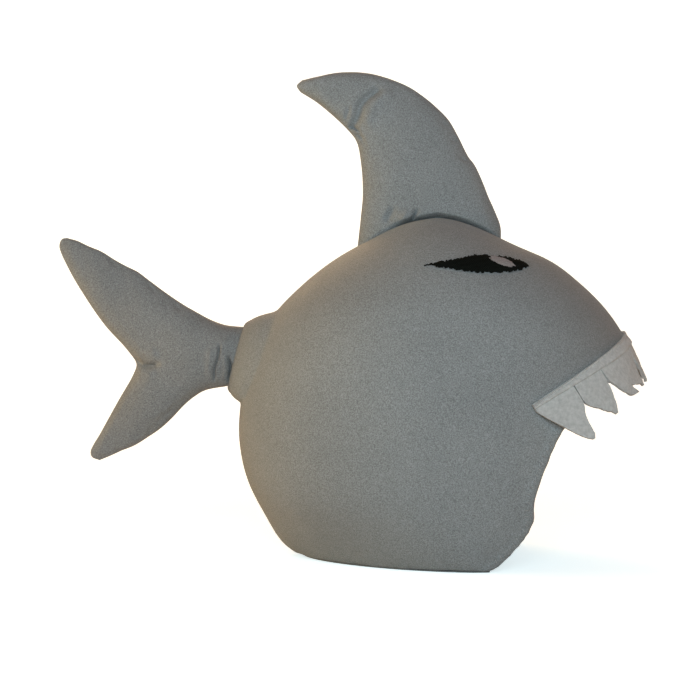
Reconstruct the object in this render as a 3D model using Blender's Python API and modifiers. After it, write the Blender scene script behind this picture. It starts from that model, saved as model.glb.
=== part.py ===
"""Shark-head cover stretched over a ski helmet.

A grey stretch-knit hood is pulled over a hard helmet with a foam liner.  A stuffed dorsal fin is
sewn on the crown, a stuffed forked tail on the back, two eyes are stitched on, and a strip of felt
cut into eleven teeth hangs from the brim of the face opening.

Metres, +Z up.  +X is the nose, +Y the shark's left side, z = 0 the surface that the hem lies on.
"""

import functools
import math

import bmesh
import bpy
import numpy as np
from mathutils import Matrix, Vector

OBJECT = "shark_helmet_cover"

# Outlines of the covered helmet.  Side view, as (x, z): the back from hem to crown, the front from
# hem level up to the crown (what the face opening removes included), and the face opening's edge.
BACK = (
    (-0.040, 0.0), (-0.052, 0.009), (-0.064, 0.029), (-0.077, 0.055), (-0.0835, 0.085),
    (-0.0825, 0.112), (-0.076, 0.140), (-0.061, 0.170), (-0.043, 0.190), (-0.018, 0.2105),
    (0.008, 0.2255), (0.033, 0.2375), (0.057, 0.2425),
)
FRONT = (
    (0.176, 0.0), (0.190, 0.030), (0.199, 0.070), (0.202, 0.105), (0.199, 0.135),
    (0.190, 0.160), (0.178, 0.1785), (0.161, 0.196), (0.142, 0.2105), (0.116, 0.2215),
    (0.088, 0.2340), (0.072, 0.2400), (0.057, 0.2425),
)
# Half width against height, as (y, z), from hem to crown.
SIDE = (
    (0.091, 0.0), (0.096, 0.008), (0.101, 0.024), (0.106, 0.052), (0.1095, 0.086),
    (0.1105, 0.116), (0.1085, 0.148), (0.101, 0.178), (0.085, 0.204), (0.064, 0.223),
    (0.038, 0.236), (0.018, 0.2412), (0.0, 0.2425),
)
FACE_EDGE = (
    (0.088, 0.0), (0.097, 0.0075), (0.1055, 0.0165), (0.1125, 0.026), (0.1165, 0.0355),
    (0.1165, 0.048), (0.1205, 0.061), (0.126, 0.075), (0.133, 0.090), (0.146, 0.108),
    (0.161, 0.125), (0.177, 0.141), (0.1945, 0.156),
)
CROWN = BACK[-1][1]
BASE_FORWARD = 0.010   # how far the hem's widest place lies ahead of the middle
BASE_SQUARENESS = 1.6  # superellipse power of the plan outline at the hem
BODY_SQUARENESS = 2.15
BASE_BLEND = 0.055     # height over which the hem's outline becomes the body's

# Layers, as depths below the outer surface of the cover.
CLOTH = 0.0012
SHELL_DEPTH = 0.0026
SHELL_WALL = 0.0018
LINER_DEPTH = 0.0068
LINER_INNER_LOW = 0.0180
LINER_INNER_HIGH = 0.0275
LINER_THICKENS_BELOW = 0.090
EDGE_INSET = 0.0030    # helmet's face edge behind the cover's
COVER_BOTTOM = 0.0017
HELMET_BOTTOM = 0.0024
HEM_THICK = 0.0014
HEM_REACH = 0.026      # fabric turned under the rim
FACE_HEM_RISE = 0.0020
FACE_HEM_DEPTHS = (0.0036, 0.0150)
FACE_HEM_INSET = 0.0006
FACE_HEM_THICK = 0.0009
ELASTIC_RADIUS = 0.0014
ELASTIC_DEPTH = 0.0225
SEAM_HALF = 0.0003     # from the centre seam to either half of the cover
CLEARANCE = 0.0005
WELD = 1e-5

# Tail: outline in side view as (x, z), all four edges running away from the first corner.
TAIL_ROOT = ((-0.0925, 0.1217), (-0.0811, 0.1642))
TAIL_TOP = (
    TAIL_ROOT[1], (-0.104, 0.1683), (-0.126, 0.1803), (-0.149, 0.1965), (-0.171, 0.210),
    (-0.192, 0.221), (-0.2075, 0.2275),
)
TAIL_BOTTOM = (
    TAIL_ROOT[0], (-0.109, 0.1188), (-0.124, 0.1087), (-0.141, 0.092), (-0.160, 0.0795),
    (-0.174, 0.0735), (-0.1845, 0.0690),
)
TAIL_REAR = (
    TAIL_BOTTOM[-1], (-0.1895, 0.0715), (-0.184, 0.088), (-0.171, 0.112), (-0.1605, 0.131),
    (-0.1585, 0.1378), (-0.1646, 0.147), (-0.180, 0.165), (-0.1945, 0.1863), (-0.206, 0.206),
    (-0.2123, 0.2225), TAIL_TOP[-1],
)
TAIL_HALF_THICK = 0.0140
TAIL_TIP_SHARE = 0.72      # thickness of the flukes as a share of the neck's
TAIL_HINGE_BEHIND = 0.0145  # from the root seam to the line that the tail swings about
TENT_REACH = 1.9           # how far the pulled fabric spreads, in root sizes

# Fin, in the same way.
FIN_LEADING = (
    (0.1048, 0.2282), (0.1009, 0.2446), (0.0937, 0.2578), (0.0893, 0.2722), (0.0816, 0.2832),
    (0.0760, 0.2997), (0.0662, 0.3129), (0.0496, 0.3283), (0.0364, 0.3372), (0.0110, 0.3460),
    (-0.0112, 0.3470), (-0.0277, 0.3438), (-0.0385, 0.3415),
)
FIN_TRAILING = (
    (0.0006, 0.2230), (0.0030, 0.2426), (0.0045, 0.2600), (0.0032, 0.2822), (0.0, 0.2975),
    (-0.0066, 0.3063), (-0.0275, 0.3250), (-0.0400, 0.3335),
)
FIN_HALF_THICK = 0.0150
FIN_TIP_SHARE = 0.50
FIN_HINGE_HEIGHT = 0.2570

STUFFED_CLOTH = 0.0011
STUFFED_GAP = 0.0005

# Teeth: a felt strip sewn on round the brim, in the plane of its top edge.
FELT = 0.0020
BAND_REAR = (0.114, 0.111)     # rear end of the strip's top edge, (x, z)
BAND_FRONT = (0.1900, 0.1602)  # its front middle
BAND_WIDE = 0.0075
LEAN = math.radians(29.5)      # how far the strip slopes forward from upright
TEETH = 11
END_TOOTH = 0.032              # width of the first and last tooth; the others share the rest
TOOTH_LONG = 0.0345
TOOTH_GAP = 0.0015
TOOTH_SIDE_GAP = 0.0016
GAP_DEPTH = 0.0060             # from the tooth's own top edge to the start of its point
TIP_HALF = 0.0012
END_TIP = 0.76                 # where the end tooth's point lies along its width, from its outer end
NEXT_TIP = 0.58

# Eyes, as (x, z) in side view.
EYE_TOP = (
    (0.0450, 0.2040), (0.0600, 0.2082), (0.0780, 0.2116), (0.0900, 0.2113), (0.1050, 0.2093),
    (0.1130, 0.2072), (0.1160, 0.2038),
)
EYE_BOTTOM = (
    (0.0450, 0.2040), (0.0620, 0.2010), (0.0740, 0.1996), (0.0900, 0.1990), (0.1040, 0.2000),
    (0.1120, 0.2020), (0.1160, 0.2038),
)
EYE_THICK = 0.0008
GLINT_CENTRE = (0.0990, 0.2071)
GLINT_LONG = 0.0088
GLINT_SHORT = 0.0030
GLINT_TILT = math.radians(-16)
GLINT_THICK = 0.0005

# Comfort pads inside the liner: angle range from the nose, height range, thickness.
PADS = {
    "brow_pad": (-48, 48, 0.170, 0.187, 0.006),
    "nape_pad": (150, 210, 0.024, 0.066, 0.007),
    "ear_pad_left": (76, 122, 0.022, 0.072, 0.009),
    "ear_pad_right": (238, 284, 0.022, 0.072, 0.009),
}
CROWN_PAD_DROP = 0.010
CROWN_PAD_THICK = 0.006

MATERIALS = {
    "cover": ((0.19, 0.205, 0.21), 0.62),
    "felt": ((0.47, 0.47, 0.44), 0.95),
    "eye": ((0.010, 0.012, 0.010), 0.55),
    "glint": ((0.42, 0.36, 0.34), 0.60),
    "filling": ((0.82, 0.82, 0.80), 0.95),
    "shell": ((0.035, 0.036, 0.040), 0.35),
    "foam": ((0.055, 0.055, 0.058), 0.90),
    "pad": ((0.075, 0.075, 0.080), 0.92),
    "elastic": ((0.60, 0.60, 0.58), 0.85),
}


def spline(points, samples=160):
    """Even samples of a smooth curve through the points (centripetal Catmull-Rom)."""
    path = [np.array(p, float) for p in points]
    path = [2 * path[0] - path[1]] + path + [2 * path[-1] - path[-2]]
    dense = []
    for before, start, end, after in zip(path, path[1:], path[2:], path[3:]):
        knots = np.cumsum([0.0] + [max(np.linalg.norm(b - a) ** 0.5, 1e-6)
                                   for a, b in ((before, start), (start, end), (end, after))])
        for t in np.linspace(knots[1], knots[2], 24, endpoint=False):
            a1 = (before * (knots[1] - t) + start * (t - knots[0])) / (knots[1] - knots[0])
            a2 = (start * (knots[2] - t) + end * (t - knots[1])) / (knots[2] - knots[1])
            a3 = (end * (knots[3] - t) + after * (t - knots[2])) / (knots[3] - knots[2])
            b1 = (a1 * (knots[2] - t) + a2 * (t - knots[0])) / (knots[2] - knots[0])
            b2 = (a2 * (knots[3] - t) + a3 * (t - knots[1])) / (knots[3] - knots[1])
            dense.append((b1 * (knots[2] - t) + b2 * (t - knots[1])) / (knots[2] - knots[1]))
    dense.append(np.array(points[-1], float))
    return resample(np.array(dense), samples)


def resample(path, samples):
    """Points at even arc lengths along a polyline."""
    steps = np.linalg.norm(np.diff(path, axis=0), axis=1)
    along = np.concatenate([[0.0], np.cumsum(steps)])
    wanted = np.linspace(0.0, along[-1], samples)
    return np.stack([np.interp(wanted, along, path[:, k]) for k in range(path.shape[1])], axis=1)


def smooth(value, low, high):
    """0 below low, 1 above high, with a soft run between."""
    t = np.clip((value - low) / (high - low), 0.0, 1.0)
    return t * t * (3 - 2 * t)


OUTLINES = {"back": spline(BACK), "front": spline(FRONT), "side": spline(SIDE)}
EDGE = spline(FACE_EDGE)


@functools.lru_cache(maxsize=None)
def sunk(name, depth):
    """One outline moved inward by depth: level near the hem, square to the surface higher up."""
    outline = OUTLINES[name]
    run = np.gradient(outline, axis=0)
    run /= np.linalg.norm(run, axis=1)[:, None]
    side = 1 if name == "back" else -1
    inward = np.stack([run[:, 1], -run[:, 0]], axis=1) * side
    level = np.array([(side, 0.0)])
    share = smooth(outline[:, 1], 0.0, BASE_BLEND)[:, None]
    way = level * (1 - share) + inward * share
    way /= np.linalg.norm(way, axis=1)[:, None]
    return outline + way * depth


def slice_at(z, depth=0.0):
    """Plan outline at a height: back x, middle x, front x, half width and squareness."""
    back, front, side = (sunk(name, depth) for name in ("back", "front", "side"))
    x_back = np.interp(z, back[:, 1], back[:, 0])
    x_front = np.interp(z, front[:, 1], front[:, 0])
    half = max(np.interp(z, side[:, 1], side[:, 0]), 0.0)
    x_mid = (x_back + x_front) / 2 + BASE_FORWARD * (1 - smooth(z, 0.0, BASE_BLEND))
    power = BASE_SQUARENESS + (BODY_SQUARENESS - BASE_SQUARENESS) * smooth(z, 0.0, BASE_BLEND)
    return x_back, x_mid, x_front, half, power


def crown_at(depth):
    return CROWN - depth


def body_point(angle, z, depth=0.0, tent=False):
    """Point of the covered helmet at an angle from the nose (radians) and a height."""
    x_back, x_mid, x_front, half, power = slice_at(z, depth)
    reach = x_front - x_mid if math.cos(angle) > 0 else x_mid - x_back
    x = x_mid + reach * math.copysign(abs(math.cos(angle)) ** (2 / power), math.cos(angle))
    y = half * math.copysign(abs(math.sin(angle)) ** (2 / power), math.sin(angle))
    if tent and math.cos(angle) < 0:
        x = tented(x, y, z)
    return Vector((x, y, z))


def root_x(z):
    """x of the tail's root seam at a height."""
    (x0, z0), (x1, z1) = TAIL_ROOT
    return x0 + (x1 - x0) * (z - z0) / (z1 - z0)


def tented(x, y, z):
    """Back of the cover drawn out to the tail's root seam."""
    middle = (TAIL_ROOT[0][1] + TAIL_ROOT[1][1]) / 2
    tall = (TAIL_ROOT[1][1] - TAIL_ROOT[0][1]) / 2
    away = math.hypot(y / TAIL_HALF_THICK, (z - middle) / tall)
    pull = 1 - smooth(away, 1.05, TENT_REACH)
    return x + (min(root_x(z) + CLEARANCE, x) - x) * pull


@functools.lru_cache(maxsize=None)
def inset_edge(inset):
    """Face opening's edge moved back onto the helmet."""
    run = np.gradient(EDGE, axis=0)
    run /= np.linalg.norm(run, axis=1)[:, None]
    return EDGE + np.stack([-run[:, 1], run[:, 0]], axis=1) * inset


def edge_angle(z, depth=0.0, inset=0.0):
    """Angle from the nose at which the face opening cuts the plan outline."""
    edge = inset_edge(inset)
    if z >= edge[-1, 1]:
        return 0.0
    x_edge = np.interp(z, edge[:, 1], edge[:, 0])
    _, x_mid, x_front, _, power = slice_at(z, depth)
    share = (x_edge - x_mid) / (x_front - x_mid)
    if share >= 1:
        return 0.0
    return math.acos(math.copysign(abs(share) ** (power / 2), share))


def ridge_height(x):
    """Height of the centre line over x, between the fin's ends."""
    line = np.concatenate([OUTLINES["back"], OUTLINES["front"][::-1]])
    return float(np.interp(x, line[:, 0][line[:, 1] > 0.19], line[:, 1][line[:, 1] > 0.19]))


def on_cover(x, z, side, lift):
    """Point of the cover seen at (x, z) from one side, lifted off along the surface's normal."""
    def surface_y(px, pz):
        x_back, x_mid, x_front, half, power = slice_at(pz)
        reach = x_front - x_mid if px > x_mid else x_mid - x_back
        share = min(abs((px - x_mid) / reach), 1.0)
        return half * (1 - share ** power) ** (1 / power)

    step = 0.001
    y = surface_y(x, z)
    slope_x = (surface_y(x + step, z) - surface_y(x - step, z)) / (2 * step)
    slope_z = (surface_y(x, z + step) - surface_y(x, z - step)) / (2 * step)
    normal = Vector((-slope_x, 1.0, -slope_z)).normalized()
    point = Vector((x, y, z)) + normal * lift
    point.y *= side
    return point


# Making objects.

def clear_scene():
    for thing in list(bpy.data.objects):
        bpy.data.objects.remove(thing, do_unlink=True)


def collection(name):
    made = bpy.data.collections.new(name)
    bpy.context.scene.collection.children.link(made)
    return made


def make_materials():
    made = {}
    for name, (colour, roughness) in MATERIALS.items():
        material = bpy.data.materials.new(name)
        material.use_nodes = True
        shader = material.node_tree.nodes["Principled BSDF"]
        shader.inputs["Base Color"].default_value = (*colour, 1.0)
        shader.inputs["Roughness"].default_value = roughness
        shader.inputs["Metallic"].default_value = 0.0
        made[name] = material
    return made


def add_object(name, data, material, parts, parent=None):
    thing = bpy.data.objects.new(name, data)
    data.materials.append(material)
    parts.objects.link(thing)
    if parent is not None:
        thing.parent = parent
        thing.matrix_parent_inverse = parent.matrix_world.inverted()
    return thing


def add_empty(name, parts, matrix):
    empty = bpy.data.objects.new(name, None)
    parts.objects.link(empty)
    empty.matrix_world = matrix
    bpy.context.view_layer.update()
    return empty


def put_grid(form, columns, rows, place):
    """A grid primitive whose points go where place(u, v) says, u and v from 0 to 1."""
    made = bmesh.ops.create_grid(form, x_segments=columns, y_segments=rows, size=1.0)["verts"]
    for vert in made:
        vert.co = Vector(place((vert.co.x + 1) / 2, (vert.co.y + 1) / 2))
    return made


def face_out(form, centre):
    """Turns an open surface so that its faces look away from a point inside it."""
    form.normal_update()
    looks = sum(f.normal.dot(f.calc_center_median() - centre) * f.calc_area() for f in form.faces)
    if looks < 0:
        bmesh.ops.reverse_faces(form, faces=form.faces)


def to_mesh(name, form):
    mesh = bpy.data.meshes.new(name)
    form.to_mesh(mesh)
    form.free()
    mesh.shade_smooth()
    mesh.set_sharp_from_angle(angle=math.radians(40))
    return mesh


def sheet(name, columns, rows, place, centre):
    """Open surface looking away from centre."""
    form = bmesh.new()
    put_grid(form, columns, rows, place)
    bmesh.ops.remove_doubles(form, verts=form.verts, dist=WELD)
    face_out(form, Vector(centre))
    return to_mesh(name, form)


def wall(name, columns, rows, outer, inner, open_at_middle):
    """Closed wall between two surfaces of one layout, or half of one that is open at y = 0."""
    form = bmesh.new()
    outside = put_grid(form, columns, rows, outer)
    inside = put_grid(form, columns, rows, inner)
    wide = columns + 1
    rim = ([i for i in range(wide)] + [j * wide + columns for j in range(1, rows + 1)]
           + [rows * wide + i for i in range(columns - 1, -1, -1)]
           + [j * wide for j in range(rows - 1, 0, -1)])
    for a, b in zip(rim, rim[1:] + rim[:1]):
        at_middle = max(abs(outside[a].co.y), abs(outside[b].co.y)) < WELD
        if not (open_at_middle and at_middle):
            form.faces.new((outside[a], outside[b], inside[b], inside[a]))
    bmesh.ops.remove_doubles(form, verts=form.verts, dist=WELD)
    bmesh.ops.recalc_face_normals(form, faces=form.faces)
    if form.calc_volume(signed=True) < 0:
        bmesh.ops.reverse_faces(form, faces=form.faces)
    return to_mesh(name, form)


def solidify(thing, thickness, offset=-1.0):
    modifier = thing.modifiers.new("Thickness", "SOLIDIFY")
    modifier.thickness = thickness
    modifier.offset = offset


def mirror(thing):
    modifier = thing.modifiers.new("Other side", "MIRROR")
    modifier.use_axis = (False, True, False)
    modifier.merge_threshold = 0.0001


MIDDLE = (0.05, 0.0, 0.10)
ROWS = 18
COLUMNS = 15
EDGE_ROWS = 10        # rows that end on the face opening; the rest close over the brim


def along_outline(name, depth, low, high, share):
    """Height reached after a share of one outline's length, between two heights."""
    line = sunk(name, depth)
    line = line[(line[:, 1] > low + WELD) & (line[:, 1] < high - WELD)]
    line = np.concatenate([[(line[0, 0], low)], line, [(line[-1, 0], high)]])
    steps = np.cumsum(np.linalg.norm(np.diff(line, axis=0), axis=1))
    return float(np.interp(share, np.concatenate([[0.0], steps / steps[-1]]), line[:, 1]))


def body_layer(depth, bottom, inset=0.0, tent=False, shift=0.0, deepen=None):
    """Left half of one layer, as place(u, v): u from the back round to the face opening.

    The rows tilt so that the first ones end on the face opening's edge, and the rest meet at the
    front on the centre line.  deepen gives the depth at each height where it isn't the same all over.
    """
    sink = deepen or (lambda z: depth)
    top = crown_at(sink(1.0))
    brim = brim_height(sink(1.0), inset)
    share_at_brim = EDGE_ROWS / ROWS

    def place(u, v):
        if v > 1 - 1e-6:
            return (BACK[-1][0], shift, top)
        back_z = along_outline("back", sink(1.0), bottom, top, v)
        if v <= share_at_brim + 1e-6:
            front_z = bottom + (brim - bottom) * math.sin(math.pi / 2 * v / share_at_brim)
        else:
            share = (v - share_at_brim) / (1 - share_at_brim)
            front_z = along_outline("front", sink(1.0), brim, top, share)
        z = back_z + (front_z - back_z) * u
        end = edge_angle(front_z, sink(front_z), inset) if v < share_at_brim - 1e-6 else 0.0
        angle = math.pi - (math.pi - end) * u ** 1.35
        point = body_point(angle, z, sink(z), tent)
        sideways = 0.0 if u < 1e-6 or (u > 1 - 1e-6 and end == 0.0) else point.y
        return (point.x, sideways + shift, z)
    return place


def build_cover(parts, materials):
    """Two stretch-knit halves, sewn together along the centre line."""
    for name, side in (("cover_left", 1), ("cover_right", -1)):
        half = body_layer(0.0, COVER_BOTTOM, tent=True, shift=SEAM_HALF)

        def place(u, v, half=half, side=side):
            x, y, z = half(u, v)
            return (x, y * side, z)
        mesh = sheet(name, COLUMNS, ROWS, place, MIDDLE)
        thing = add_object(name, mesh, materials["cover"], parts)
        solidify(thing, CLOTH)
        trim_at_seam(thing, side)


def trim_at_seam(thing, side):
    """Keeps a half of the cover on its own side of the centre seam."""
    bpy.context.view_layer.update()
    evaluated = thing.evaluated_get(bpy.context.evaluated_depsgraph_get())
    form = bmesh.new()
    form.from_mesh(evaluated.to_mesh())
    cut = bmesh.ops.bisect_plane(
        form, geom=form.verts[:] + form.edges[:] + form.faces[:], dist=1e-7,
        plane_co=(0.0, side * SEAM_HALF * 0.9, 0.0), plane_no=(0.0, -side, 0.0), clear_outer=True)
    edges = [e for e in cut["geom_cut"] if isinstance(e, bmesh.types.BMEdge)]
    if edges:
        bmesh.ops.holes_fill(form, edges=[e for e in form.edges if e.is_boundary])
    thing.modifiers.clear()
    form.to_mesh(thing.data)
    form.free()


def base_strip(depth_outer, depth_inner):
    """Flat strip just inside the hem's outline, from one front corner round the back to the other."""
    def place(u, v):
        depth = depth_outer + (depth_inner - depth_outer) * v
        end = edge_angle(0.0, depth)
        angle = end + (2 * math.pi - 2 * end) * u
        point = body_point(angle, 0.0, depth)
        return (point.x, point.y, 0.0)
    return place


def build_hem(parts, materials):
    """Fabric turned under the helmet's rim, with the elastic that grips it."""
    form = bmesh.new()
    put_grid(form, 36, 2, base_strip(0.0, HEM_REACH))
    form.normal_update()
    if sum(f.normal.z for f in form.faces) < 0:
        bmesh.ops.reverse_faces(form, faces=form.faces)
    hem = add_object("hem_band", to_mesh("hem_band", form), materials["cover"], parts)
    solidify(hem, HEM_THICK, 1.0)

    end = edge_angle(0.0, ELASTIC_DEPTH) + 0.03
    path = []
    for share in np.linspace(0.0, 1.0, 25):
        angle = end + (2 * math.pi - 2 * end) * share
        point = body_point(angle, 0.0, ELASTIC_DEPTH)
        point.z = HEM_THICK + CLEARANCE + ELASTIC_RADIUS
        path.append(point)
    add_tube("hem_elastic", path, ELASTIC_RADIUS, materials["elastic"], parts)


def add_tube(name, path, radius, material, parts):
    curve = bpy.data.curves.new(name, "CURVE")
    curve.dimensions = "3D"
    curve.bevel_depth = radius
    curve.bevel_resolution = 2
    curve.use_fill_caps = True
    line = curve.splines.new("POLY")
    line.points.add(len(path) - 1)
    for point, place in zip(line.points, path):
        point.co = (*place, 1.0)
    return add_object(name, curve, material, parts)


def brim_height(depth, inset):
    """Height at which the face opening's edge meets the front of a layer, on the centre line."""
    heights = np.linspace(0.120, 0.175, 221)
    return next(float(z) for z in heights if edge_angle(z, depth, inset) == 0.0)


def build_face_hem(parts, materials):
    """Fabric folded in over the front edge of the helmet, all round the face opening."""
    bottom = HELMET_BOTTOM + FACE_HEM_RISE

    def place(u, v):
        depth = FACE_HEM_DEPTHS[0] + (FACE_HEM_DEPTHS[1] - FACE_HEM_DEPTHS[0]) * v
        top = brim_height(depth, FACE_HEM_INSET)
        z = bottom + (top - bottom) * math.sin(math.pi / 2 * u)
        if u > 1 - 1e-6:
            return (slice_at(top, depth)[2], 0.0, top)
        return body_point(edge_angle(z, depth, FACE_HEM_INSET), z, depth)
    form = bmesh.new()
    put_grid(form, 16, 1, place)
    form.normal_update()
    if sum(f.normal.x for f in form.faces) < 0:
        bmesh.ops.reverse_faces(form, faces=form.faces)
    hem = add_object("face_hem", to_mesh("face_hem", form), materials["cover"], parts)
    mirror(hem)
    solidify(hem, FACE_HEM_THICK)


def build_helmet(parts, materials):
    """Moulded shell, expanded-foam liner and the pads that touch the head."""
    mesh = sheet("helmet_shell", COLUMNS, ROWS,
                 body_layer(SHELL_DEPTH, HELMET_BOTTOM, EDGE_INSET), MIDDLE)
    shell = add_object("helmet_shell", mesh, materials["shell"], parts)
    mirror(shell)
    solidify(shell, SHELL_WALL)

    def liner_depth(z):
        return LINER_INNER_LOW + (LINER_INNER_HIGH - LINER_INNER_LOW) * float(
            smooth(z, 0.0, LINER_THICKENS_BELOW))
    mesh = wall("foam_liner", COLUMNS, ROWS,
                body_layer(LINER_DEPTH, HELMET_BOTTOM, EDGE_INSET),
                body_layer(0.0, HELMET_BOTTOM, EDGE_INSET, deepen=liner_depth), True)
    liner = add_object("foam_liner", mesh, materials["foam"], parts)
    mirror(liner)

    for name, (start, stop, low, high, thick) in PADS.items():
        def place(u, v, start=start, stop=stop, low=low, high=high):
            z = low + (high - low) * v
            angle = math.radians(start + (stop - start) * u)
            return body_point(angle, z, liner_depth(z) + 4 * CLEARANCE)
        mesh = sheet(name, 10, 4, place, MIDDLE)
        pad = add_object(name, mesh, materials["pad"], parts)
        solidify(pad, thick)

    depth = LINER_INNER_HIGH + 4 * CLEARANCE

    def crown_place(u, v):
        z = crown_at(depth) - CROWN_PAD_DROP * (1 - v) ** 2
        if v > 1 - 1e-6:
            return (BACK[-1][0], 0.0, z)
        return body_point(2 * math.pi * u, z, depth)
    pad = add_object("crown_pad", sheet("crown_pad", 18, 3, crown_place, MIDDLE),
                     materials["pad"], parts)
    solidify(pad, CROWN_PAD_THICK)


# Stuffed pieces.

def pillow(bottom, top, rear, thickness, inset=0.0, edge_y=0.0, first=None):
    """Left half of a stuffed flat shape between four edges, as place(u, v).

    u runs from the root to the far end, v from the lower or rear edge to the upper or front one.
    """
    low, high, far = spline(bottom), spline(top), spline(rear)
    near = spline(first) if first is not None else np.linspace(low[0], high[0], 160)

    def at(path, share):
        place = np.linspace(0.0, 1.0, len(path))
        return np.array([np.interp(share, place, path[:, k]) for k in range(2)])

    corners = (low[0], low[-1], high[0], high[-1])

    def flat(u, v):
        ruled = (1 - v) * at(low, u) + v * at(high, u) + (1 - u) * at(near, v) + u * at(far, v)
        bent = ((1 - u) * (1 - v) * corners[0] + u * (1 - v) * corners[1]
                + (1 - u) * v * corners[2] + u * v * corners[3])
        return ruled - bent

    length = np.linalg.norm(flat(1.0, 0.5) - flat(0.0, 0.5))

    def place(u, v):
        wide = max(np.linalg.norm(flat(u, 1.0) - flat(u, 0.0)), 0.004)
        share_u = min(inset / length, 0.3)
        share_v = min(inset / wide, 0.3)
        x, z = flat(share_u + (1 - 2 * share_u) * u, share_v + (1 - 2 * share_v) * v)
        plump = max(thickness(u, v, x, z) - inset * math.sqrt(max(4 * v * (1 - v), 0.0)), 0.0)
        rim = min(u, 1 - u, v, 1 - v) < 1e-6
        return (x, edge_y if rim else max(plump, 0.0) + edge_y, z)
    return place


def stuffed(name, shape, materials, parts, parent, columns, rows):
    """Two skins and the filling of a stuffed piece.  shape(inset, edge_y) gives its left half."""
    for side_name, side in (("left", 1), ("right", -1)):
        def handed(place, side=side):
            def turned(u, v):
                x, y, z = place(u, v)
                return (x, y * side, z)
            return turned
        mesh = wall(f"{name}_skin_{side_name}", columns, rows,
                    handed(shape(0.0, SEAM_HALF)), handed(shape(STUFFED_CLOTH, SEAM_HALF)), False)
        add_object(f"{name}_skin_{side_name}", mesh, materials["cover"], parts, parent)
    inside = shape(STUFFED_CLOTH + STUFFED_GAP, 0.0)
    form = bmesh.new()
    put_grid(form, columns, rows, inside)
    bmesh.ops.remove_doubles(form, verts=form.verts, dist=WELD)
    form.normal_update()
    if sum(f.normal.y * f.calc_area() for f in form.faces) < 0:
        bmesh.ops.reverse_faces(form, faces=form.faces)
    filling = add_object(f"{name}_filling", to_mesh(f"{name}_filling", form),
                         materials["filling"], parts, parent)
    mirror(filling)


def build_tail(parts, materials):
    """Forked tail, swinging about a line just behind its root seam and parallel to it."""
    (x0, z0), (x1, z1) = TAIL_ROOT
    up = Vector((x1 - x0, 0.0, z1 - z0)).normalized()
    back = Vector((-up.z, 0.0, up.x))
    seam = Vector(((x0 + x1) / 2, 0.0, (z0 + z1) / 2))
    hinge = seam + back * TAIL_HINGE_BEHIND
    frame = Matrix.Translation(hinge) @ up.to_track_quat("Z", "Y").to_matrix().to_4x4()
    pivot = add_empty("tail_hinge", parts, frame)

    def thickness(u, v, x, z):
        behind = (Vector((x, 0.0, z)) - seam).dot(back)
        size = TAIL_HALF_THICK * (1 - (1 - TAIL_TIP_SHARE) * smooth(behind, 0.02, 0.09))
        round_edges = (max(4 * v * (1 - v), 0.0)) ** 0.5
        round_end = max(1 - u ** 8, 0.0) ** 0.5
        ahead = max(TAIL_HINGE_BEHIND - max(behind, 0.0), 0.0)
        within = math.sqrt(max(TAIL_HALF_THICK ** 2 - ahead ** 2, 0.0))
        return min(size * round_edges * round_end, within)

    def shape(inset, edge_y):
        return pillow(TAIL_BOTTOM, TAIL_TOP, TAIL_REAR, thickness, inset, edge_y)
    stuffed("tail", shape, materials, parts, pivot, 14, 12)


def build_fin(parts, materials):
    """Dorsal fin, swaying about a level line a little above its seam."""
    pivot = add_empty("fin_hinge", parts, Matrix.Translation((0.05, 0.0, FIN_HINGE_HEIGHT)))
    base = [(x, ridge_height(x) + 2 * CLEARANCE) for x in np.linspace(0.002, 0.102, 9)]
    leading = (base[-1],) + FIN_LEADING[1:]
    trailing = (base[0],) + FIN_TRAILING[1:]
    tip = (FIN_TRAILING[-1], (-0.0420, 0.3375), FIN_LEADING[-1])

    def thickness(u, v, x, z):
        size = FIN_HALF_THICK * (1 - (1 - FIN_TIP_SHARE) * smooth(z, 0.27, 0.345))
        round_edges = (max(4 * v * (1 - v), 0.0)) ** 0.5
        round_end = max(1 - u ** 10, 0.0) ** 0.5
        radius = FIN_HINGE_HEIGHT - ridge_height(min(max(x, 0.0), 0.105)) - CLEARANCE
        below = max(FIN_HINGE_HEIGHT - z, 0.0)
        within = math.sqrt(max(radius ** 2 - below ** 2, 0.0))
        return min(size * round_edges * round_end, within if below > 0 else size)

    def shape(inset, edge_y):
        return pillow(trailing, leading, tip, thickness, inset, edge_y, base)
    stuffed("fin", shape, materials, parts, pivot, 14, 10)


# Eyes and teeth.

def build_eyes(parts, materials):
    """Stitched black eye with a pale glint, on each side."""
    top, bottom = spline(EYE_TOP), spline(EYE_BOTTOM)
    for name, side in (("left", 1), ("right", -1)):
        def place(u, v, side=side):
            x = EYE_TOP[0][0] + (EYE_TOP[-1][0] - EYE_TOP[0][0]) * u
            low = np.interp(x, bottom[:, 0], bottom[:, 1])
            high = np.interp(x, top[:, 0], top[:, 1])
            return on_cover(x, low + (high - low) * v, side, CLEARANCE)
        eye = add_object(f"eye_{name}", sheet(f"eye_{name}", 14, 4, place, MIDDLE),
                         materials["eye"], parts)
        solidify(eye, EYE_THICK, 1.0)

        def glint_place(u, v, side=side):
            turn = 2 * math.pi * u
            along = GLINT_LONG * v * math.cos(turn)
            across = GLINT_SHORT * v * math.sin(turn)
            x = GLINT_CENTRE[0] + along * math.cos(GLINT_TILT) - across * math.sin(GLINT_TILT)
            z = GLINT_CENTRE[1] + along * math.sin(GLINT_TILT) + across * math.cos(GLINT_TILT)
            return on_cover(x, z, side, 2 * CLEARANCE + EYE_THICK)
        glint = add_object(f"eye_glint_{name}",
                           sheet(f"eye_glint_{name}", 16, 2, glint_place, MIDDLE),
                           materials["glint"], parts)
        solidify(glint, GLINT_THICK, 1.0)


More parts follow.
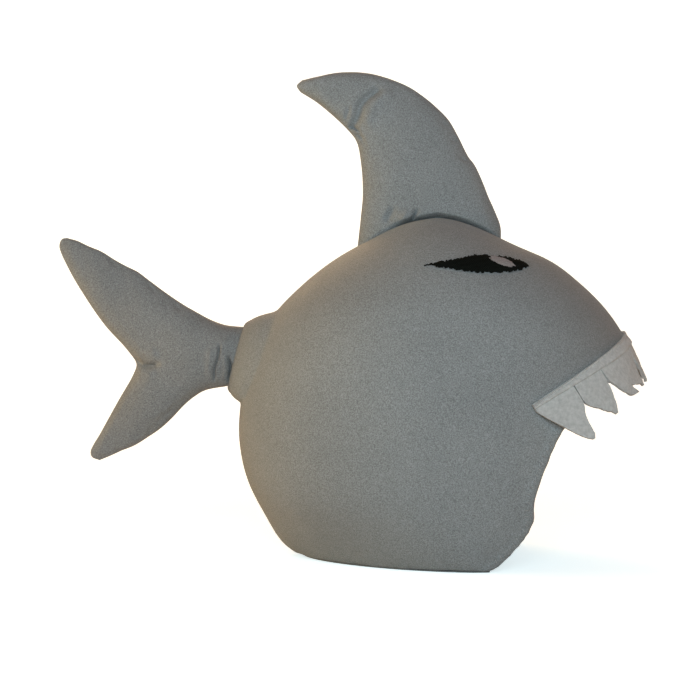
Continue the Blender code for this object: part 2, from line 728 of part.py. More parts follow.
def band_line(samples=400):
    """Top edge of the felt strip, from its right rear end round the nose to its left rear end."""
    slope = (BAND_FRONT[1] - BAND_REAR[1]) / (BAND_FRONT[0] - BAND_REAR[0])
    half = []
    for x in BAND_REAR[0] + (BAND_FRONT[0] - BAND_REAR[0]) * np.sin(np.linspace(0, math.pi / 2, 90)):
        z = BAND_REAR[1] + (x - BAND_REAR[0]) * slope
        x_back, x_mid, x_front, width, power = slice_at(z)
        share = min((x - x_mid) / (x_front - x_mid), 1.0)
        half.append((x, width * (1 - share ** power) ** (1 / power), z))
    half[-1] = (BAND_FRONT[0] + CLEARANCE, 0.0, BAND_FRONT[1])
    right = [(x, -y, z) for x, y, z in half]
    return resample(np.array(right + half[-2::-1]), samples)


def build_teeth(parts, materials):
    """Felt strip stitched on round the brim, and the eleven teeth that hang from its fold."""
    line = band_line()
    places = np.linspace(0.0, 1.0, len(line))
    drop = Vector((math.sin(LEAN), 0.0, -math.cos(LEAN)))
    length = float(np.linalg.norm(np.diff(line, axis=0), axis=1).sum())
    cuts = tooth_cuts(length)
    tips = [END_TIP, NEXT_TIP] + [0.5] * (TEETH - 4) + [1 - NEXT_TIP, 1 - END_TIP]

    def at(share):
        return Vector([np.interp(share, places, line[:, k]) for k in range(3)])

    def outward(share):
        step = (at(min(share + 0.01, 1.0)) - at(max(share - 0.01, 0.0))).normalized()
        return step.cross(drop).normalized() * -1

    if outward(0.5).x < 0:
        raise ValueError("the strip's outer side faces the helmet")

    def place(u, v):
        return at(u) + outward(u) * CLEARANCE + drop * BAND_WIDE * v
    band = add_object("teeth_band", sheet("teeth_band", 33, 1, place, MIDDLE),
                      materials["felt"], parts)
    solidify(band, FELT, 1.0)

    for index in range(TEETH):
        start, stop = at(cuts[index]), at(cuts[index + 1])
        middle = (start + stop) / 2
        across = (stop - start).normalized()
        out = across.cross(drop).normalized() * -1
        hinge = middle + out * (CLEARANCE + FELT / 2) + drop * (BAND_WIDE + TOOTH_GAP)
        frame = Matrix((across, drop, -out)).transposed().to_4x4()
        frame.translation = hinge
        half = (stop - start).length / 2 - TOOTH_SIDE_GAP / 2
        tip = -half + 2 * half * tips[index]
        tooth = bpy.data.curves.new(f"tooth_{index + 1}", "CURVE")
        tooth.dimensions = "2D"
        tooth.fill_mode = "BOTH"
        tooth.extrude = FELT / 2
        edge = tooth_outline(half, tip)
        outline = tooth.splines.new("POLY")
        outline.points.add(len(edge) - 1)
        outline.use_cyclic_u = True
        for point, (x, y) in zip(outline.points, edge):
            point.co = (x, y, 0.0, 1.0)
        thing = add_object(f"tooth_{index + 1}", tooth, materials["felt"], parts)
        thing.matrix_world = frame


def tooth_cuts(length):
    """Where the teeth begin and end along the strip, as shares of its length."""
    end = END_TOOTH / length
    return [0.0] + [end + (1 - 2 * end) * k / (TEETH - 2) for k in range(TEETH - 1)] + [1.0]


def tooth_outline(half, tip):
    """Flat outline of one tooth: a level top, short sides, and hollow edges down to the point."""
    def hollow(x_start, x_end, steps=5):
        rows = []
        for k in range(steps + 1):
            t = k / steps
            x = x_start + (x_end - x_start) * t
            y = GAP_DEPTH + (TOOTH_LONG - GAP_DEPTH) * t ** 0.85
            rows.append((x, y))
        return rows
    left = hollow(-half, tip - TIP_HALF)
    right = hollow(half, tip + TIP_HALF)
    return [(-half, 0.0)] + left + right[::-1] + [(half, 0.0)]


def build():
    clear_scene()
    parts = collection(OBJECT)
    materials = make_materials()
    build_cover(parts, materials)
    build_hem(parts, materials)
    build_face_hem(parts, materials)
    build_helmet(parts, materials)
    build_tail(parts, materials)
    build_fin(parts, materials)
    build_eyes(parts, materials)
    build_teeth(parts, materials)


build()
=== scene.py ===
import math

import bpy
import numpy as np
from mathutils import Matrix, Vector, noise


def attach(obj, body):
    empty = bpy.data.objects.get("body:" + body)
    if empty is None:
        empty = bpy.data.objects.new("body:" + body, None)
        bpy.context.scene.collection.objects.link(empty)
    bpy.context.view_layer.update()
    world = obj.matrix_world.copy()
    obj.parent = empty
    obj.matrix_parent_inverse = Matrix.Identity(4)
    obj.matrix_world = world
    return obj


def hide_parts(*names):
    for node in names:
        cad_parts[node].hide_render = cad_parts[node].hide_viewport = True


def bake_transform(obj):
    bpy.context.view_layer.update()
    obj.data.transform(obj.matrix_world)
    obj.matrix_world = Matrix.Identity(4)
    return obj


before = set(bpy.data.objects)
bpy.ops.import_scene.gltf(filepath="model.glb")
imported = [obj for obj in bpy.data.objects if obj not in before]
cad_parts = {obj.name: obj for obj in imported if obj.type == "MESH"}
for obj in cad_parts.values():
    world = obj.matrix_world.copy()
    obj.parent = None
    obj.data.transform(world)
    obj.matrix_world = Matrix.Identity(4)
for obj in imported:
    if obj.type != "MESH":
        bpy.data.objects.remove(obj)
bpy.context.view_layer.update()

# The table and the light.  The covered helmet stands on a white table whose cloth curves up
# behind it.  A cool soft light stands beside the viewer, with warm lamps to the left and behind.
TABLE_DEEP, TABLE_BEND = 0.8, 0.7
bpy.ops.object.select_all(action="DESELECT")
bpy.ops.mesh.primitive_grid_add(x_subdivisions=4, y_subdivisions=48, size=2.0)
table = bpy.context.object
table.name = "table_top"
for point in table.data.vertices:
    reach = point.co.y * 3.2
    rise = max(reach - TABLE_DEEP, 0.0)
    turn = min(rise / TABLE_BEND, math.pi / 2)
    point.co = (point.co.x * 3.5, min(reach, TABLE_DEEP) + TABLE_BEND * math.sin(turn),
                TABLE_BEND * (1 - math.cos(turn)) + max(rise - TABLE_BEND * math.pi / 2, 0.0))
bpy.ops.object.shade_smooth()

paper = bpy.data.materials.new("white table")
paper.use_nodes = True
tree = paper.node_tree
gloss = tree.nodes["Principled BSDF"]
gloss.inputs["Base Color"].default_value = (0.90, 0.89, 0.87, 1.0)
gloss.inputs["Roughness"].default_value = 0.80
gloss.inputs["Specular IOR Level"].default_value = 0.2
gloss.inputs["Emission Color"].default_value = (0.80, 0.95, 1.0, 1.0)
ray = tree.nodes.new("ShaderNodeLightPath")
lift = tree.nodes.new("ShaderNodeMath")
lift.operation = "MULTIPLY"
lift.inputs[1].default_value = 0.75
tree.links.new(ray.outputs["Is Camera Ray"], lift.inputs[0])
tree.links.new(lift.outputs[0], gloss.inputs["Emission Strength"])
table.data.materials.append(paper)

room = bpy.data.worlds.new("room")
bpy.context.scene.world = room
room.use_nodes = True
tree = room.node_tree
lamp_glow = tree.nodes["Background"]
lamp_glow.inputs["Color"].default_value = (0.56, 0.20, 0.03, 1.0)
lamp_glow.inputs["Strength"].default_value = 0.48
backdrop = tree.nodes.new("ShaderNodeBackground")
backdrop.inputs["Color"].default_value = (1.0, 1.0, 1.0, 1.0)
ray = tree.nodes.new("ShaderNodeLightPath")
either = tree.nodes.new("ShaderNodeMixShader")
tree.links.new(ray.outputs["Is Camera Ray"], either.inputs[0])
tree.links.new(lamp_glow.outputs[0], either.inputs[1])
tree.links.new(backdrop.outputs[0], either.inputs[2])
tree.links.new(either.outputs[0], tree.nodes["World Output"].inputs["Surface"])


def soft_lamp(name, place, target, size, watts, colour):
    bpy.ops.object.light_add(type="AREA", location=place)
    lamp = bpy.context.object
    lamp.name = name
    lamp.data.size = size
    lamp.data.energy = watts
    lamp.data.color = colour
    lamp.rotation_euler = (Vector(target) - Vector(place)).to_track_quat("-Z", "Y").to_euler()


soft_lamp("cool_front", (0.10, -1.60, 0.55), (0.02, 0.0, 0.13), 0.9, 21.0, (0.65, 0.89, 1.0))
soft_lamp("warm_side", (-1.39, -0.10, 0.27), (0.0, 0.0, 0.15), 0.7, 12.0, (1.0, 0.79, 0.45))
soft_lamp("warm_behind", (-0.20, 1.15, 1.05), (0.0, 0.0, 0.15), 0.8, 8.0, (1.0, 0.66, 0.34))

bpy.ops.object.camera_add(location=(-0.0047, -1.1, 0.1476), rotation=(math.pi / 2, 0.0, 0.0))
camera = bpy.context.object
camera.name = "viewer"
camera.data.sensor_width = 36.0
camera.data.lens = 78.57
bpy.context.scene.camera = camera
bpy.context.scene.view_settings.view_transform = "Standard"

# The outlines of the covered helmet, from the rim up to the crown: its back and its front as
# (x, z), its side as (half width, z), and the edge of the face opening as (x, z).
BACK = (
    (-0.040, 0.0), (-0.0525, 0.009), (-0.0650, 0.029), (-0.0780, 0.055), (-0.0840, 0.085),
    (-0.0825, 0.112), (-0.076, 0.140), (-0.061, 0.170), (-0.043, 0.190), (-0.018, 0.2105),
    (0.008, 0.2255), (0.033, 0.2375), (0.057, 0.2425),
)
FRONT = (
    (0.176, 0.0), (0.190, 0.030), (0.199, 0.070), (0.202, 0.105), (0.199, 0.135),
    (0.189, 0.160), (0.1766, 0.1780), (0.1596, 0.1950), (0.1410, 0.2095), (0.1156, 0.2210),
    (0.088, 0.2340), (0.072, 0.2400), (0.057, 0.2425),
)
SIDE = (
    (0.091, 0.0), (0.096, 0.008), (0.101, 0.024), (0.106, 0.052), (0.1095, 0.086),
    (0.1105, 0.116), (0.1085, 0.148), (0.101, 0.178), (0.085, 0.204), (0.064, 0.223),
    (0.038, 0.236), (0.018, 0.2412), (0.0, 0.2425),
)
FACE_EDGE = (
    (0.088, 0.0), (0.097, 0.0075), (0.1055, 0.0165), (0.1125, 0.026), (0.1165, 0.0355),
    (0.1165, 0.048), (0.1205, 0.061), (0.126, 0.075), (0.133, 0.090), (0.146, 0.108),
    (0.161, 0.125), (0.177, 0.141), (0.1945, 0.156),
)
CROWN = 0.2425
CROWN_X = 0.057
MIDDLE = Vector((0.05, 0.0, 0.10))
ROWS_ON_EDGE = 0.5556   # share of the rows that end on the face opening, below the brim
COLUMN_LEAN = 1.35      # above 1, the columns stand closer together at the back than at the face


def spline(points, samples=1200):
    """Even samples of a smooth curve through the points (centripetal Catmull-Rom)."""
    path = [np.array(p, float) for p in points]
    path = [2 * path[0] - path[1]] + path + [2 * path[-1] - path[-2]]
    dense = []
    for before, start, end, after in zip(path, path[1:], path[2:], path[3:]):
        knots = np.cumsum([0.0] + [max(np.linalg.norm(b - a) ** 0.5, 1e-6)
                                   for a, b in ((before, start), (start, end), (end, after))])
        t = np.linspace(knots[1], knots[2], 40, endpoint=False)[:, None]
        a1 = (before * (knots[1] - t) + start * (t - knots[0])) / (knots[1] - knots[0])
        a2 = (start * (knots[2] - t) + end * (t - knots[1])) / (knots[2] - knots[1])
        a3 = (end * (knots[3] - t) + after * (t - knots[2])) / (knots[3] - knots[2])
        b1 = (a1 * (knots[2] - t) + a2 * (t - knots[0])) / (knots[2] - knots[0])
        b2 = (a2 * (knots[3] - t) + a3 * (t - knots[1])) / (knots[3] - knots[1])
        dense.extend((b1 * (knots[2] - t) + b2 * (t - knots[1])) / (knots[2] - knots[1]))
    dense.append(np.array(points[-1], float))
    return resample(np.array(dense), samples)


def lengths(path):
    """How far along a polyline each of its points is."""
    steps = np.linalg.norm(np.diff(path, axis=0), axis=1)
    return np.concatenate([[0.0], np.cumsum(steps)])


def resample(path, samples):
    """Points at even arc lengths along a polyline."""
    along = lengths(path)
    wanted = np.linspace(0.0, along[-1], samples)
    return np.stack([np.interp(wanted, along, path[:, k]) for k in range(path.shape[1])], axis=1)


def soften(path, reach):
    """A sampled curve with its small kinks eased out, ends kept."""
    step = np.linalg.norm(path[1] - path[0])
    half = max(int(3 * reach / step), 1)
    weights = np.exp(-0.5 * (np.arange(-half, half + 1) * step / reach) ** 2)
    weights /= weights.sum()
    before = 2 * path[0] - path[half:0:-1]
    after = 2 * path[-1] - path[-2:-half - 2:-1]
    longer = np.concatenate([before, path, after])
    return np.stack([np.convolve(longer[:, k], weights, "valid")
                     for k in range(path.shape[1])], axis=1)


def smooth(value, low, high):
    """0 below low, 1 above high, with a soft run between."""
    t = np.clip((value - low) / (high - low), 0.0, 1.0)
    return t * t * (3 - 2 * t)


OUTLINES = {"back": soften(spline(BACK), 0.004), "front": soften(spline(FRONT), 0.004),
            "side": soften(spline(SIDE), 0.004)}
EDGE = soften(spline(FACE_EDGE), 0.002)
SUNK = {}


def sunk(name, depth):
    """One outline moved inward by depth: level near the rim, square to the surface higher up."""
    if (name, depth) not in SUNK:
        outline = OUTLINES[name]
        run = np.gradient(outline, axis=0)
        run /= np.linalg.norm(run, axis=1)[:, None]
        side = 1 if name == "back" else -1
        inward = np.stack([run[:, 1], -run[:, 0]], axis=1) * side
        share = smooth(outline[:, 1], 0.0, 0.055)[:, None]
        way = np.array([(side, 0.0)]) * (1 - share) + inward * share
        way /= np.linalg.norm(way, axis=1)[:, None]
        SUNK[name, depth] = outline + way * depth
    return SUNK[name, depth]


def slice_at(z, depth=0.0):
    """Plan outline at a height: back x, middle x, front x, half width and squareness."""
    back, front, side = (sunk(name, depth) for name in ("back", "front", "side"))
    x_back = np.interp(z, back[:, 1], back[:, 0])
    x_front = np.interp(z, front[:, 1], front[:, 0])
    half = np.maximum(np.interp(z, side[:, 1], side[:, 0]), 0.0)
    x_mid = (x_back + x_front) / 2 + 0.010 * (1 - smooth(z, 0.0, 0.055))
    power = 1.6 + 0.55 * smooth(z, 0.0, 0.055)
    return x_back, x_mid, x_front, half, power


def body_point(angle, z, depth=0.0):
    """Points of the covered helmet at an angle from the nose (radians) and a height."""
    x_back, x_mid, x_front, half, power = slice_at(z, depth)
    cosine, sine = np.cos(angle), np.sin(angle)
    reach = np.where(cosine > 0, x_front - x_mid, x_mid - x_back)
    x = x_mid + reach * np.sign(cosine) * np.abs(cosine) ** (2 / power)
    y = half * np.sign(sine) * np.abs(sine) ** (2 / power)
    return np.stack([x, y, np.broadcast_to(z, x.shape)], axis=-1)


def edge_angle(z, depth=0.0, inset=0.0):
    """Angle from the nose at which the face opening cuts the plan outline."""
    run = np.gradient(EDGE, axis=0)
    run /= np.linalg.norm(run, axis=1)[:, None]
    edge = EDGE + np.stack([-run[:, 1], run[:, 0]], axis=1) * inset
    x_edge = np.interp(z, edge[:, 1], edge[:, 0], right=1.0)
    _, x_mid, x_front, _, power = slice_at(z, depth)
    share = np.clip((x_edge - x_mid) / (x_front - x_mid), -1.0, 1.0)
    return np.arccos(np.sign(share) * np.abs(share) ** (power / 2))


def brim_height(depth, inset):
    """Height at which the face opening's edge meets the front of a layer, on the centre line."""
    heights = np.linspace(0.120, 0.175, 2201)
    return heights[np.argmax(edge_angle(heights, depth, inset) <= 0.0)]


def along_outline(name, depth, low, high, share):
    """Heights reached after a share of one outline's length, between two heights."""
    line = sunk(name, depth)
    line = line[(line[:, 1] > low + 1e-5) & (line[:, 1] < high - 1e-5)]
    line = np.concatenate([[(line[0, 0], low)], line, [(line[-1, 0], high)]])
    along = lengths(line)
    return np.interp(share, along / along[-1], line[:, 1])


def half_layer(u, v, depth, bottom, inset=0.0, inner=None):
    """Left half of one layer of the helmet: u from the back round to the face opening, v upward.

    It lies depth below the surface, or inner(z) below it where the layer's depth changes."""
    top_depth = depth if inner is None else inner(1.0)
    top = CROWN - top_depth
    brim = brim_height(top_depth, inset)
    back_z = along_outline("back", top_depth, bottom, top, v)
    on_edge = v <= ROWS_ON_EDGE + 1e-6
    low_z = bottom + (brim - bottom) * np.sin(math.pi / 2 * np.minimum(v / ROWS_ON_EDGE, 1.0))
    above = np.clip((v - ROWS_ON_EDGE) / (1 - ROWS_ON_EDGE), 0.0, 1.0)
    front_z = np.where(on_edge, low_z, along_outline("front", top_depth, brim, top, above))
    z = back_z + (front_z - back_z) * u
    if inner is None:
        end = np.where(v < ROWS_ON_EDGE - 1e-6, edge_angle(front_z, depth, inset), 0.0)
        points = body_point(math.pi - (math.pi - end) * u ** COLUMN_LEAN, z, depth)
    else:
        depths = inner(z)
        ends = inner(front_z)
        end = np.array([edge_angle(f, round(float(d), 5), inset) for f, d in zip(front_z, ends)])
        end = np.where(v < ROWS_ON_EDGE - 1e-6, end, 0.0)
        angle = math.pi - (math.pi - end) * u ** COLUMN_LEAN
        points = np.array([body_point(a, h, round(float(d), 5))
                           for a, h, d in zip(angle, z, depths)])
    points[v > 1 - 1e-6] = (CROWN_X, 0.0, top)
    centred = (u < 1e-6) | ((u > 1 - 1e-6) & (v >= ROWS_ON_EDGE - 1e-6))
    points[centred, 1] = 0.0
    return points


def laid_grid(name, columns, rows, place):
    """A grid primitive whose points go where place(u, v) puts them; u and v run from 0 to 1.

    Its map measures the cloth in metres, along the rows and up the columns."""
    bpy.ops.object.select_all(action="DESELECT")
    bpy.ops.mesh.primitive_grid_add(x_subdivisions=columns, y_subdivisions=rows, size=2.0)
    piece = bpy.context.object
    piece.name = name
    mesh = piece.data
    mesh.name = name
    flat = np.empty(len(mesh.vertices) * 3)
    mesh.vertices.foreach_get("co", flat)
    flat = flat.reshape(-1, 3)
    points = np.asarray(place((flat[:, 0] + 1) / 2, (flat[:, 1] + 1) / 2))
    mesh.vertices.foreach_set("co", points.ravel())
    cells = points.reshape(rows + 1, columns + 1, 3)
    across = np.linalg.norm(np.diff(cells, axis=1), axis=2)
    across = np.concatenate([np.zeros((rows + 1, 1)), np.cumsum(across, axis=1)], axis=1)
    upward = np.linalg.norm(np.diff(cells, axis=0), axis=2)
    upward = np.concatenate([np.zeros((1, columns + 1)), np.cumsum(upward, axis=0)], axis=0)
    corners = np.empty(len(mesh.loops), dtype=np.int32)
    mesh.loops.foreach_get("vertex_index", corners)
    cloth_map = np.stack([across.ravel()[corners], upward.ravel()[corners]], axis=1)
    mesh.uv_layers[0].uv.foreach_set("vector", cloth_map.ravel())
    mesh.update()
    return piece


def turn_outward(piece):
    """Makes an open surface look away from the middle of the helmet."""
    if sum(f.normal.dot(f.center - MIDDLE) * f.area for f in piece.data.polygons) < 0:
        piece.data.flip_normals()


def turn_towards(piece, way):
    """Makes an open surface look one way on the whole."""
    if sum(f.normal.dot(Vector(way)) * f.area for f in piece.data.polygons) < 0:
        piece.data.flip_normals()


def joined(pieces):
    """Joins pieces into the first of them."""
    bpy.ops.object.select_all(action="DESELECT")
    for piece in pieces:
        piece.select_set(True)
    bpy.context.view_layer.objects.active = pieces[0]
    bpy.ops.object.join()
    return pieces[0]


def mended(piece, merge=0.0, fill=False, recalculate=False):
    """Merges doubled points, closes holes and turns the faces outward, as asked."""
    bpy.context.view_layer.objects.active = piece
    bpy.ops.object.mode_set(mode="EDIT")
    bpy.ops.mesh.select_all(action="SELECT")
    if merge:
        bpy.ops.mesh.remove_doubles(threshold=merge)
    if fill:
        bpy.ops.mesh.fill_holes(sides=0)
    if recalculate:
        bpy.ops.mesh.normals_make_consistent(inside=False)
    bpy.ops.object.mode_set(mode="OBJECT")


def finish_with(piece, kind, **settings):
    """Adds one modifier and applies it."""
    bpy.context.view_layer.objects.active = piece
    modifier = piece.modifiers.new(kind, kind)
    for name, value in settings.items():
        setattr(modifier, name, value)
    bpy.ops.object.modifier_apply(modifier=modifier.name)


def both_sides(piece):
    """Mirrors a left half to the right."""
    finish_with(piece, "MIRROR", use_axis=(False, True, False), merge_threshold=0.00005)


def shaded(piece, material, degrees):
    piece.data.materials.clear()
    piece.data.materials.append(material)
    bpy.ops.object.select_all(action="DESELECT")
    piece.select_set(True)
    bpy.context.view_layer.objects.active = piece
    bpy.ops.object.shade_smooth_by_angle(angle=math.radians(degrees))


def new_node(tree, kind, **sockets):
    """A shader node with its sockets set; an underscore stands for a space in a name."""
    node = tree.nodes.new(kind)
    for name, value in sockets.items():
        node.inputs[name.replace("_", " ")].default_value = value
    return node


def finish_material(name, colour, roughness, specular):
    made = bpy.data.materials.new(name)
    made.use_nodes = True
    surface = made.node_tree.nodes["Principled BSDF"]
    surface.inputs["Base Color"].default_value = (*colour, 1.0)
    surface.inputs["Roughness"].default_value = roughness
    surface.inputs["Specular IOR Level"].default_value = specular
    return made, made.node_tree, surface


def mottled(tree, surface, light, dark, scale, where, detail=4.0, position=(0.35, 0.65)):
    """Cloudy change between two colours over the surface."""
    cloud = new_node(tree, "ShaderNodeTexNoise", Scale=scale, Detail=detail, Roughness=0.6)
    ramp = tree.nodes.new("ShaderNodeValToRGB")
    ramp.color_ramp.elements[0].position = position[0]
    ramp.color_ramp.elements[1].position = position[1]
    ramp.color_ramp.elements[0].color = (*dark, 1.0)
    ramp.color_ramp.elements[1].color = (*light, 1.0)
    tree.links.new(where, cloud.inputs["Vector"])
    tree.links.new(cloud.outputs["Fac"], ramp.inputs["Fac"])
    tree.links.new(ramp.outputs["Color"], surface.inputs["Base Color"])
    return cloud, ramp


def raised(tree, surface, height, strength, distance):
    """Relief from a height."""
    bump = new_node(tree, "ShaderNodeBump", Strength=strength, Distance=distance)
    tree.links.new(height, bump.inputs["Height"])
    tree.links.new(bump.outputs["Normal"], surface.inputs["Normal"])


# The helmet's liner.  Black expanded foam, moulded in one piece inside the hard shell, with
# grooves pressed into its inner face for air.  Its rim shows inside the folded edge of the hood.
foam, tree, surface = finish_material("bead foam", (0.030, 0.030, 0.033), 0.78, 0.3)
where = tree.nodes.new("ShaderNodeTexCoord").outputs["Object"]
mottled(tree, surface, (0.042, 0.042, 0.046), (0.020, 0.020, 0.023), 300.0, where)
beads = new_node(tree, "ShaderNodeTexVoronoi", Scale=330.0)
beads.feature = "DISTANCE_TO_EDGE"
tree.links.new(where, beads.inputs["Vector"])
raised(tree, surface, beads.outputs["Distance"], 0.6, 0.0005)


def liner_depth(z):
    return 0.0180 + 0.0095 * smooth(np.asarray(z, float), 0.0, 0.090)


LINER_COLUMNS, LINER_FACE, LINER_ROWS = 121, 60, 64   # all round, on one face, and upward


def liner_wall(u, v):
    """Outer face and grooved inner face, one after the other across u, joined by the edge."""
    inner = u > 0.5
    share = np.minimum(np.where(inner, 1 - u, u) * LINER_COLUMNS / LINER_FACE, 1.0)
    share = share - 0.6 * np.sin(2 * math.pi * share) / (2 * math.pi)
    outside = half_layer(share, v, 0.0068, 0.0026, 0.0030)
    inside = half_layer(share, v, 0.0, 0.0026, 0.0030, inner=liner_depth)
    grooves = np.zeros(len(u))
    for middle in (0.030, 0.068):
        grooves += np.exp(-((np.abs(inside[:, 1]) - middle) / 0.0065) ** 4)
    high = smooth(inside[:, 2], 0.085, 0.110)
    groove = 0.0055 * grooves * high * smooth(1 - share, 0.02, 0.10)
    outward = inside - np.array(MIDDLE)
    outward /= np.linalg.norm(outward, axis=1)[:, None]
    inside = inside + outward * groove[:, None]
    inside[inside[:, 1] < 1e-6, 1] = 0.0
    return np.where(inner[:, None], inside, outside)


# The half has to be open along the middle plane, so the flat faces that lie in it over the brim
# are taken off before it is mirrored.  The gap between the two faces under the rim is closed last.
liner = laid_grid("foam_liner_moulding", LINER_COLUMNS, LINER_ROWS, liner_wall)
bpy.ops.object.mode_set(mode="EDIT")
bpy.ops.mesh.select_mode(type="FACE")
bpy.ops.mesh.select_all(action="DESELECT")
bpy.ops.object.mode_set(mode="OBJECT")
for face in liner.data.polygons:
    face.select = all(abs(liner.data.vertices[k].co.y) < 1e-5 for k in face.vertices)
bpy.ops.object.mode_set(mode="EDIT")
bpy.ops.mesh.delete(type="FACE")
bpy.ops.mesh.select_mode(type="VERT")
bpy.ops.object.mode_set(mode="OBJECT")
both_sides(liner)
bpy.ops.object.mode_set(mode="EDIT")
bpy.ops.mesh.select_all(action="SELECT")
bpy.ops.mesh.remove_doubles(threshold=0.00005)
bpy.ops.mesh.select_all(action="DESELECT")
bpy.ops.mesh.select_non_manifold(extend=False, use_wire=False, use_multi_face=False,
                                 use_non_contiguous=False, use_verts=False)
bpy.ops.mesh.fill()
bpy.ops.mesh.select_all(action="SELECT")
bpy.ops.mesh.normals_make_consistent(inside=False)
bpy.ops.object.mode_set(mode="OBJECT")
shaded(liner, foam, 60)
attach(liner, "root")
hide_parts("foam_liner")

# The hard shell.  Thin moulded plastic in satin black.  Only its cut edge can be seen, between
# the folded hood and the liner.
plastic, tree, surface = finish_material("moulded shell", (0.028, 0.029, 0.032), 0.38, 0.5)
where = tree.nodes.new("ShaderNodeTexCoord").outputs["Object"]
grain = new_node(tree, "ShaderNodeTexNoise", Scale=900.0, Detail=3.0)
tree.links.new(where, grain.inputs["Vector"])
spread = new_node(tree, "ShaderNodeMapRange", To_Min=0.30, To_Max=0.48)
tree.links.new(grain.outputs["Fac"], spread.inputs["Value"])
tree.links.new(spread.outputs["Result"], surface.inputs["Roughness"])
raised(tree, surface, grain.outputs["Fac"], 0.25, 0.0002)
mottled(tree, surface, (0.034, 0.035, 0.038), (0.022, 0.023, 0.026), 60.0, where)
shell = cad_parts["helmet_shell"]
for slot in shell.material_slots:
    slot.material = plastic

# The comfort pads.  Soft foam in black brushed cloth, glued inside the liner where it touches
# the head, each with a stitched rim and sewn channels.
nap, tree, surface = finish_material("brushed pad cloth", (0.055, 0.055, 0.060), 0.92, 0.2)
where = tree.nodes.new("ShaderNodeTexCoord").outputs["Object"]
mottled(tree, surface, (0.075, 0.075, 0.082), (0.036, 0.036, 0.041), 1400.0, where)
fibre = new_node(tree, "ShaderNodeTexNoise", Scale=2600.0, Detail=3.0)
tree.links.new(where, fibre.inputs["Vector"])
raised(tree, surface, fibre.outputs["Fac"], 0.7, 0.0004)
surface.inputs["Sheen Weight"].default_value = 0.3

PADS = {
    "brow_pad": (-48, 48, 0.170, 0.187, 0.006, 3),
    "nape_pad": (150, 210, 0.024, 0.066, 0.007, 3),
    "ear_pad_left": (76, 122, 0.022, 0.072, 0.009, 2),
    "ear_pad_right": (238, 284, 0.022, 0.072, 0.009, 2),
}


def cushion(name, place, thickness, channels):
    """A pad whose back lies at place(u, v, 0) and whose crowned front stands thickness off it."""
    def crowned(u, v):
        rim = np.minimum(np.minimum(u, 1 - u) * 2.4, np.minimum(v, 1 - v)) * 2
        crown = np.clip(1 - (1 - np.clip(rim * 2.2, 0, 1)) ** 2.4, 0, 1) ** 0.5
        sewn = np.ones_like(u)
        for k in range(1, channels):
            sewn -= 0.45 * np.exp(-((u - k / channels) / 0.022) ** 2) * smooth(rim, 0.25, 0.5)
        return thickness * (0.18 + 0.82 * crown * sewn)
    front = laid_grid(name, 64, 36, lambda u, v: place(u, v, crowned(u, v)))
    back = laid_grid(name + "_back", 64, 36, lambda u, v: place(u, v, 0.0 * u))
    joined([front, back])
    bpy.ops.object.mode_set(mode="EDIT")
    bpy.ops.mesh.select_all(action="DESELECT")
    bpy.ops.mesh.select_non_manifold(extend=False)
    bpy.ops.mesh.bridge_edge_loops()
    bpy.ops.object.mode_set(mode="OBJECT")
    mended(front, recalculate=True)
    shaded(front, nap, 70)
    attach(front, "root")
    return front


for pad_name, (start, stop, low, high, thick, channels) in PADS.items():
    def pad_place(u, v, lift, start=start, stop=stop, low=low, high=high):
        bow = 4 * u * (1 - u)
        z = low + (high - low) * (0.5 + (v - 0.5) * (0.80 + 0.20 * bow))
        angle = np.radians(start + (stop - start) * u)
        lift = np.broadcast_to(lift, u.shape)
        spots = np.array([body_point(a, h, round(float(d), 5)) for a, h, d
                          in zip(angle, z, liner_depth(z) + 0.0012)])
        inward = np.array([0.06, 0.0, 0.10]) - spots
        inward[:, 2] *= 0.35
        inward /= np.linalg.norm(inward, axis=1)[:, None]
        return spots + inward * lift[:, None]
    pad = cushion(pad_name + "_cushion", pad_place, thick, channels)
    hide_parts(pad_name)


def crown_place(u, v, lift):
    """The crown pad under the liner's dome: u forward, v to the left."""
    x = 0.0285 + 0.0565 * u
    y = (v - 0.5) * 0.074 * (0.72 + 0.28 * 4 * u * (1 - u))
    dome = 0.2135 - 0.0030 * ((u - 0.5) * 2) ** 2 - 0.0062 * (y / 0.037) ** 2
    return np.stack([x, y, dome - lift], axis=-1)


pad = cushion("crown_pad_cushion", crown_place, 0.006, 3)
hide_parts("crown_pad")

# The hood.  Grey stretch knit, cut in two halves and sewn together over the crown, pulled tight
# over the shell.  Its edges turn in round the face opening and under the rim.
HOOD_COLUMNS, HOOD_ROWS = 140, 128
TAIL_ROOT = ((-0.0925, 0.1217), (-0.0811, 0.1642))


def root_x(z):
    (x0, z0), (x1, z1) = TAIL_ROOT
    return x0 + (x1 - x0) * (z - z0) / (z1 - z0)


def back_x(y, z):
    """x of the back of the covered helmet at a place seen from behind."""
    x_back, x_mid, _, half, power = slice_at(z)
    share = np.clip(np.abs(y) / np.maximum(half, 1e-6), 0.0, 1.0)
    return x_mid - (x_mid - x_back) * (1 - share ** power) ** (1 / power)


def side_y(x, z):
    """y of the left side of the covered helmet at a place seen from the side."""
    x_back, x_mid, x_front, half, power = slice_at(z)
    reach = np.where(x > x_mid, x_front - x_mid, x_mid - x_back)
    share = np.clip(np.abs((x - x_mid) / reach), 0.0, 1.0)
    return half * (1 - share ** power) ** (1 / power)


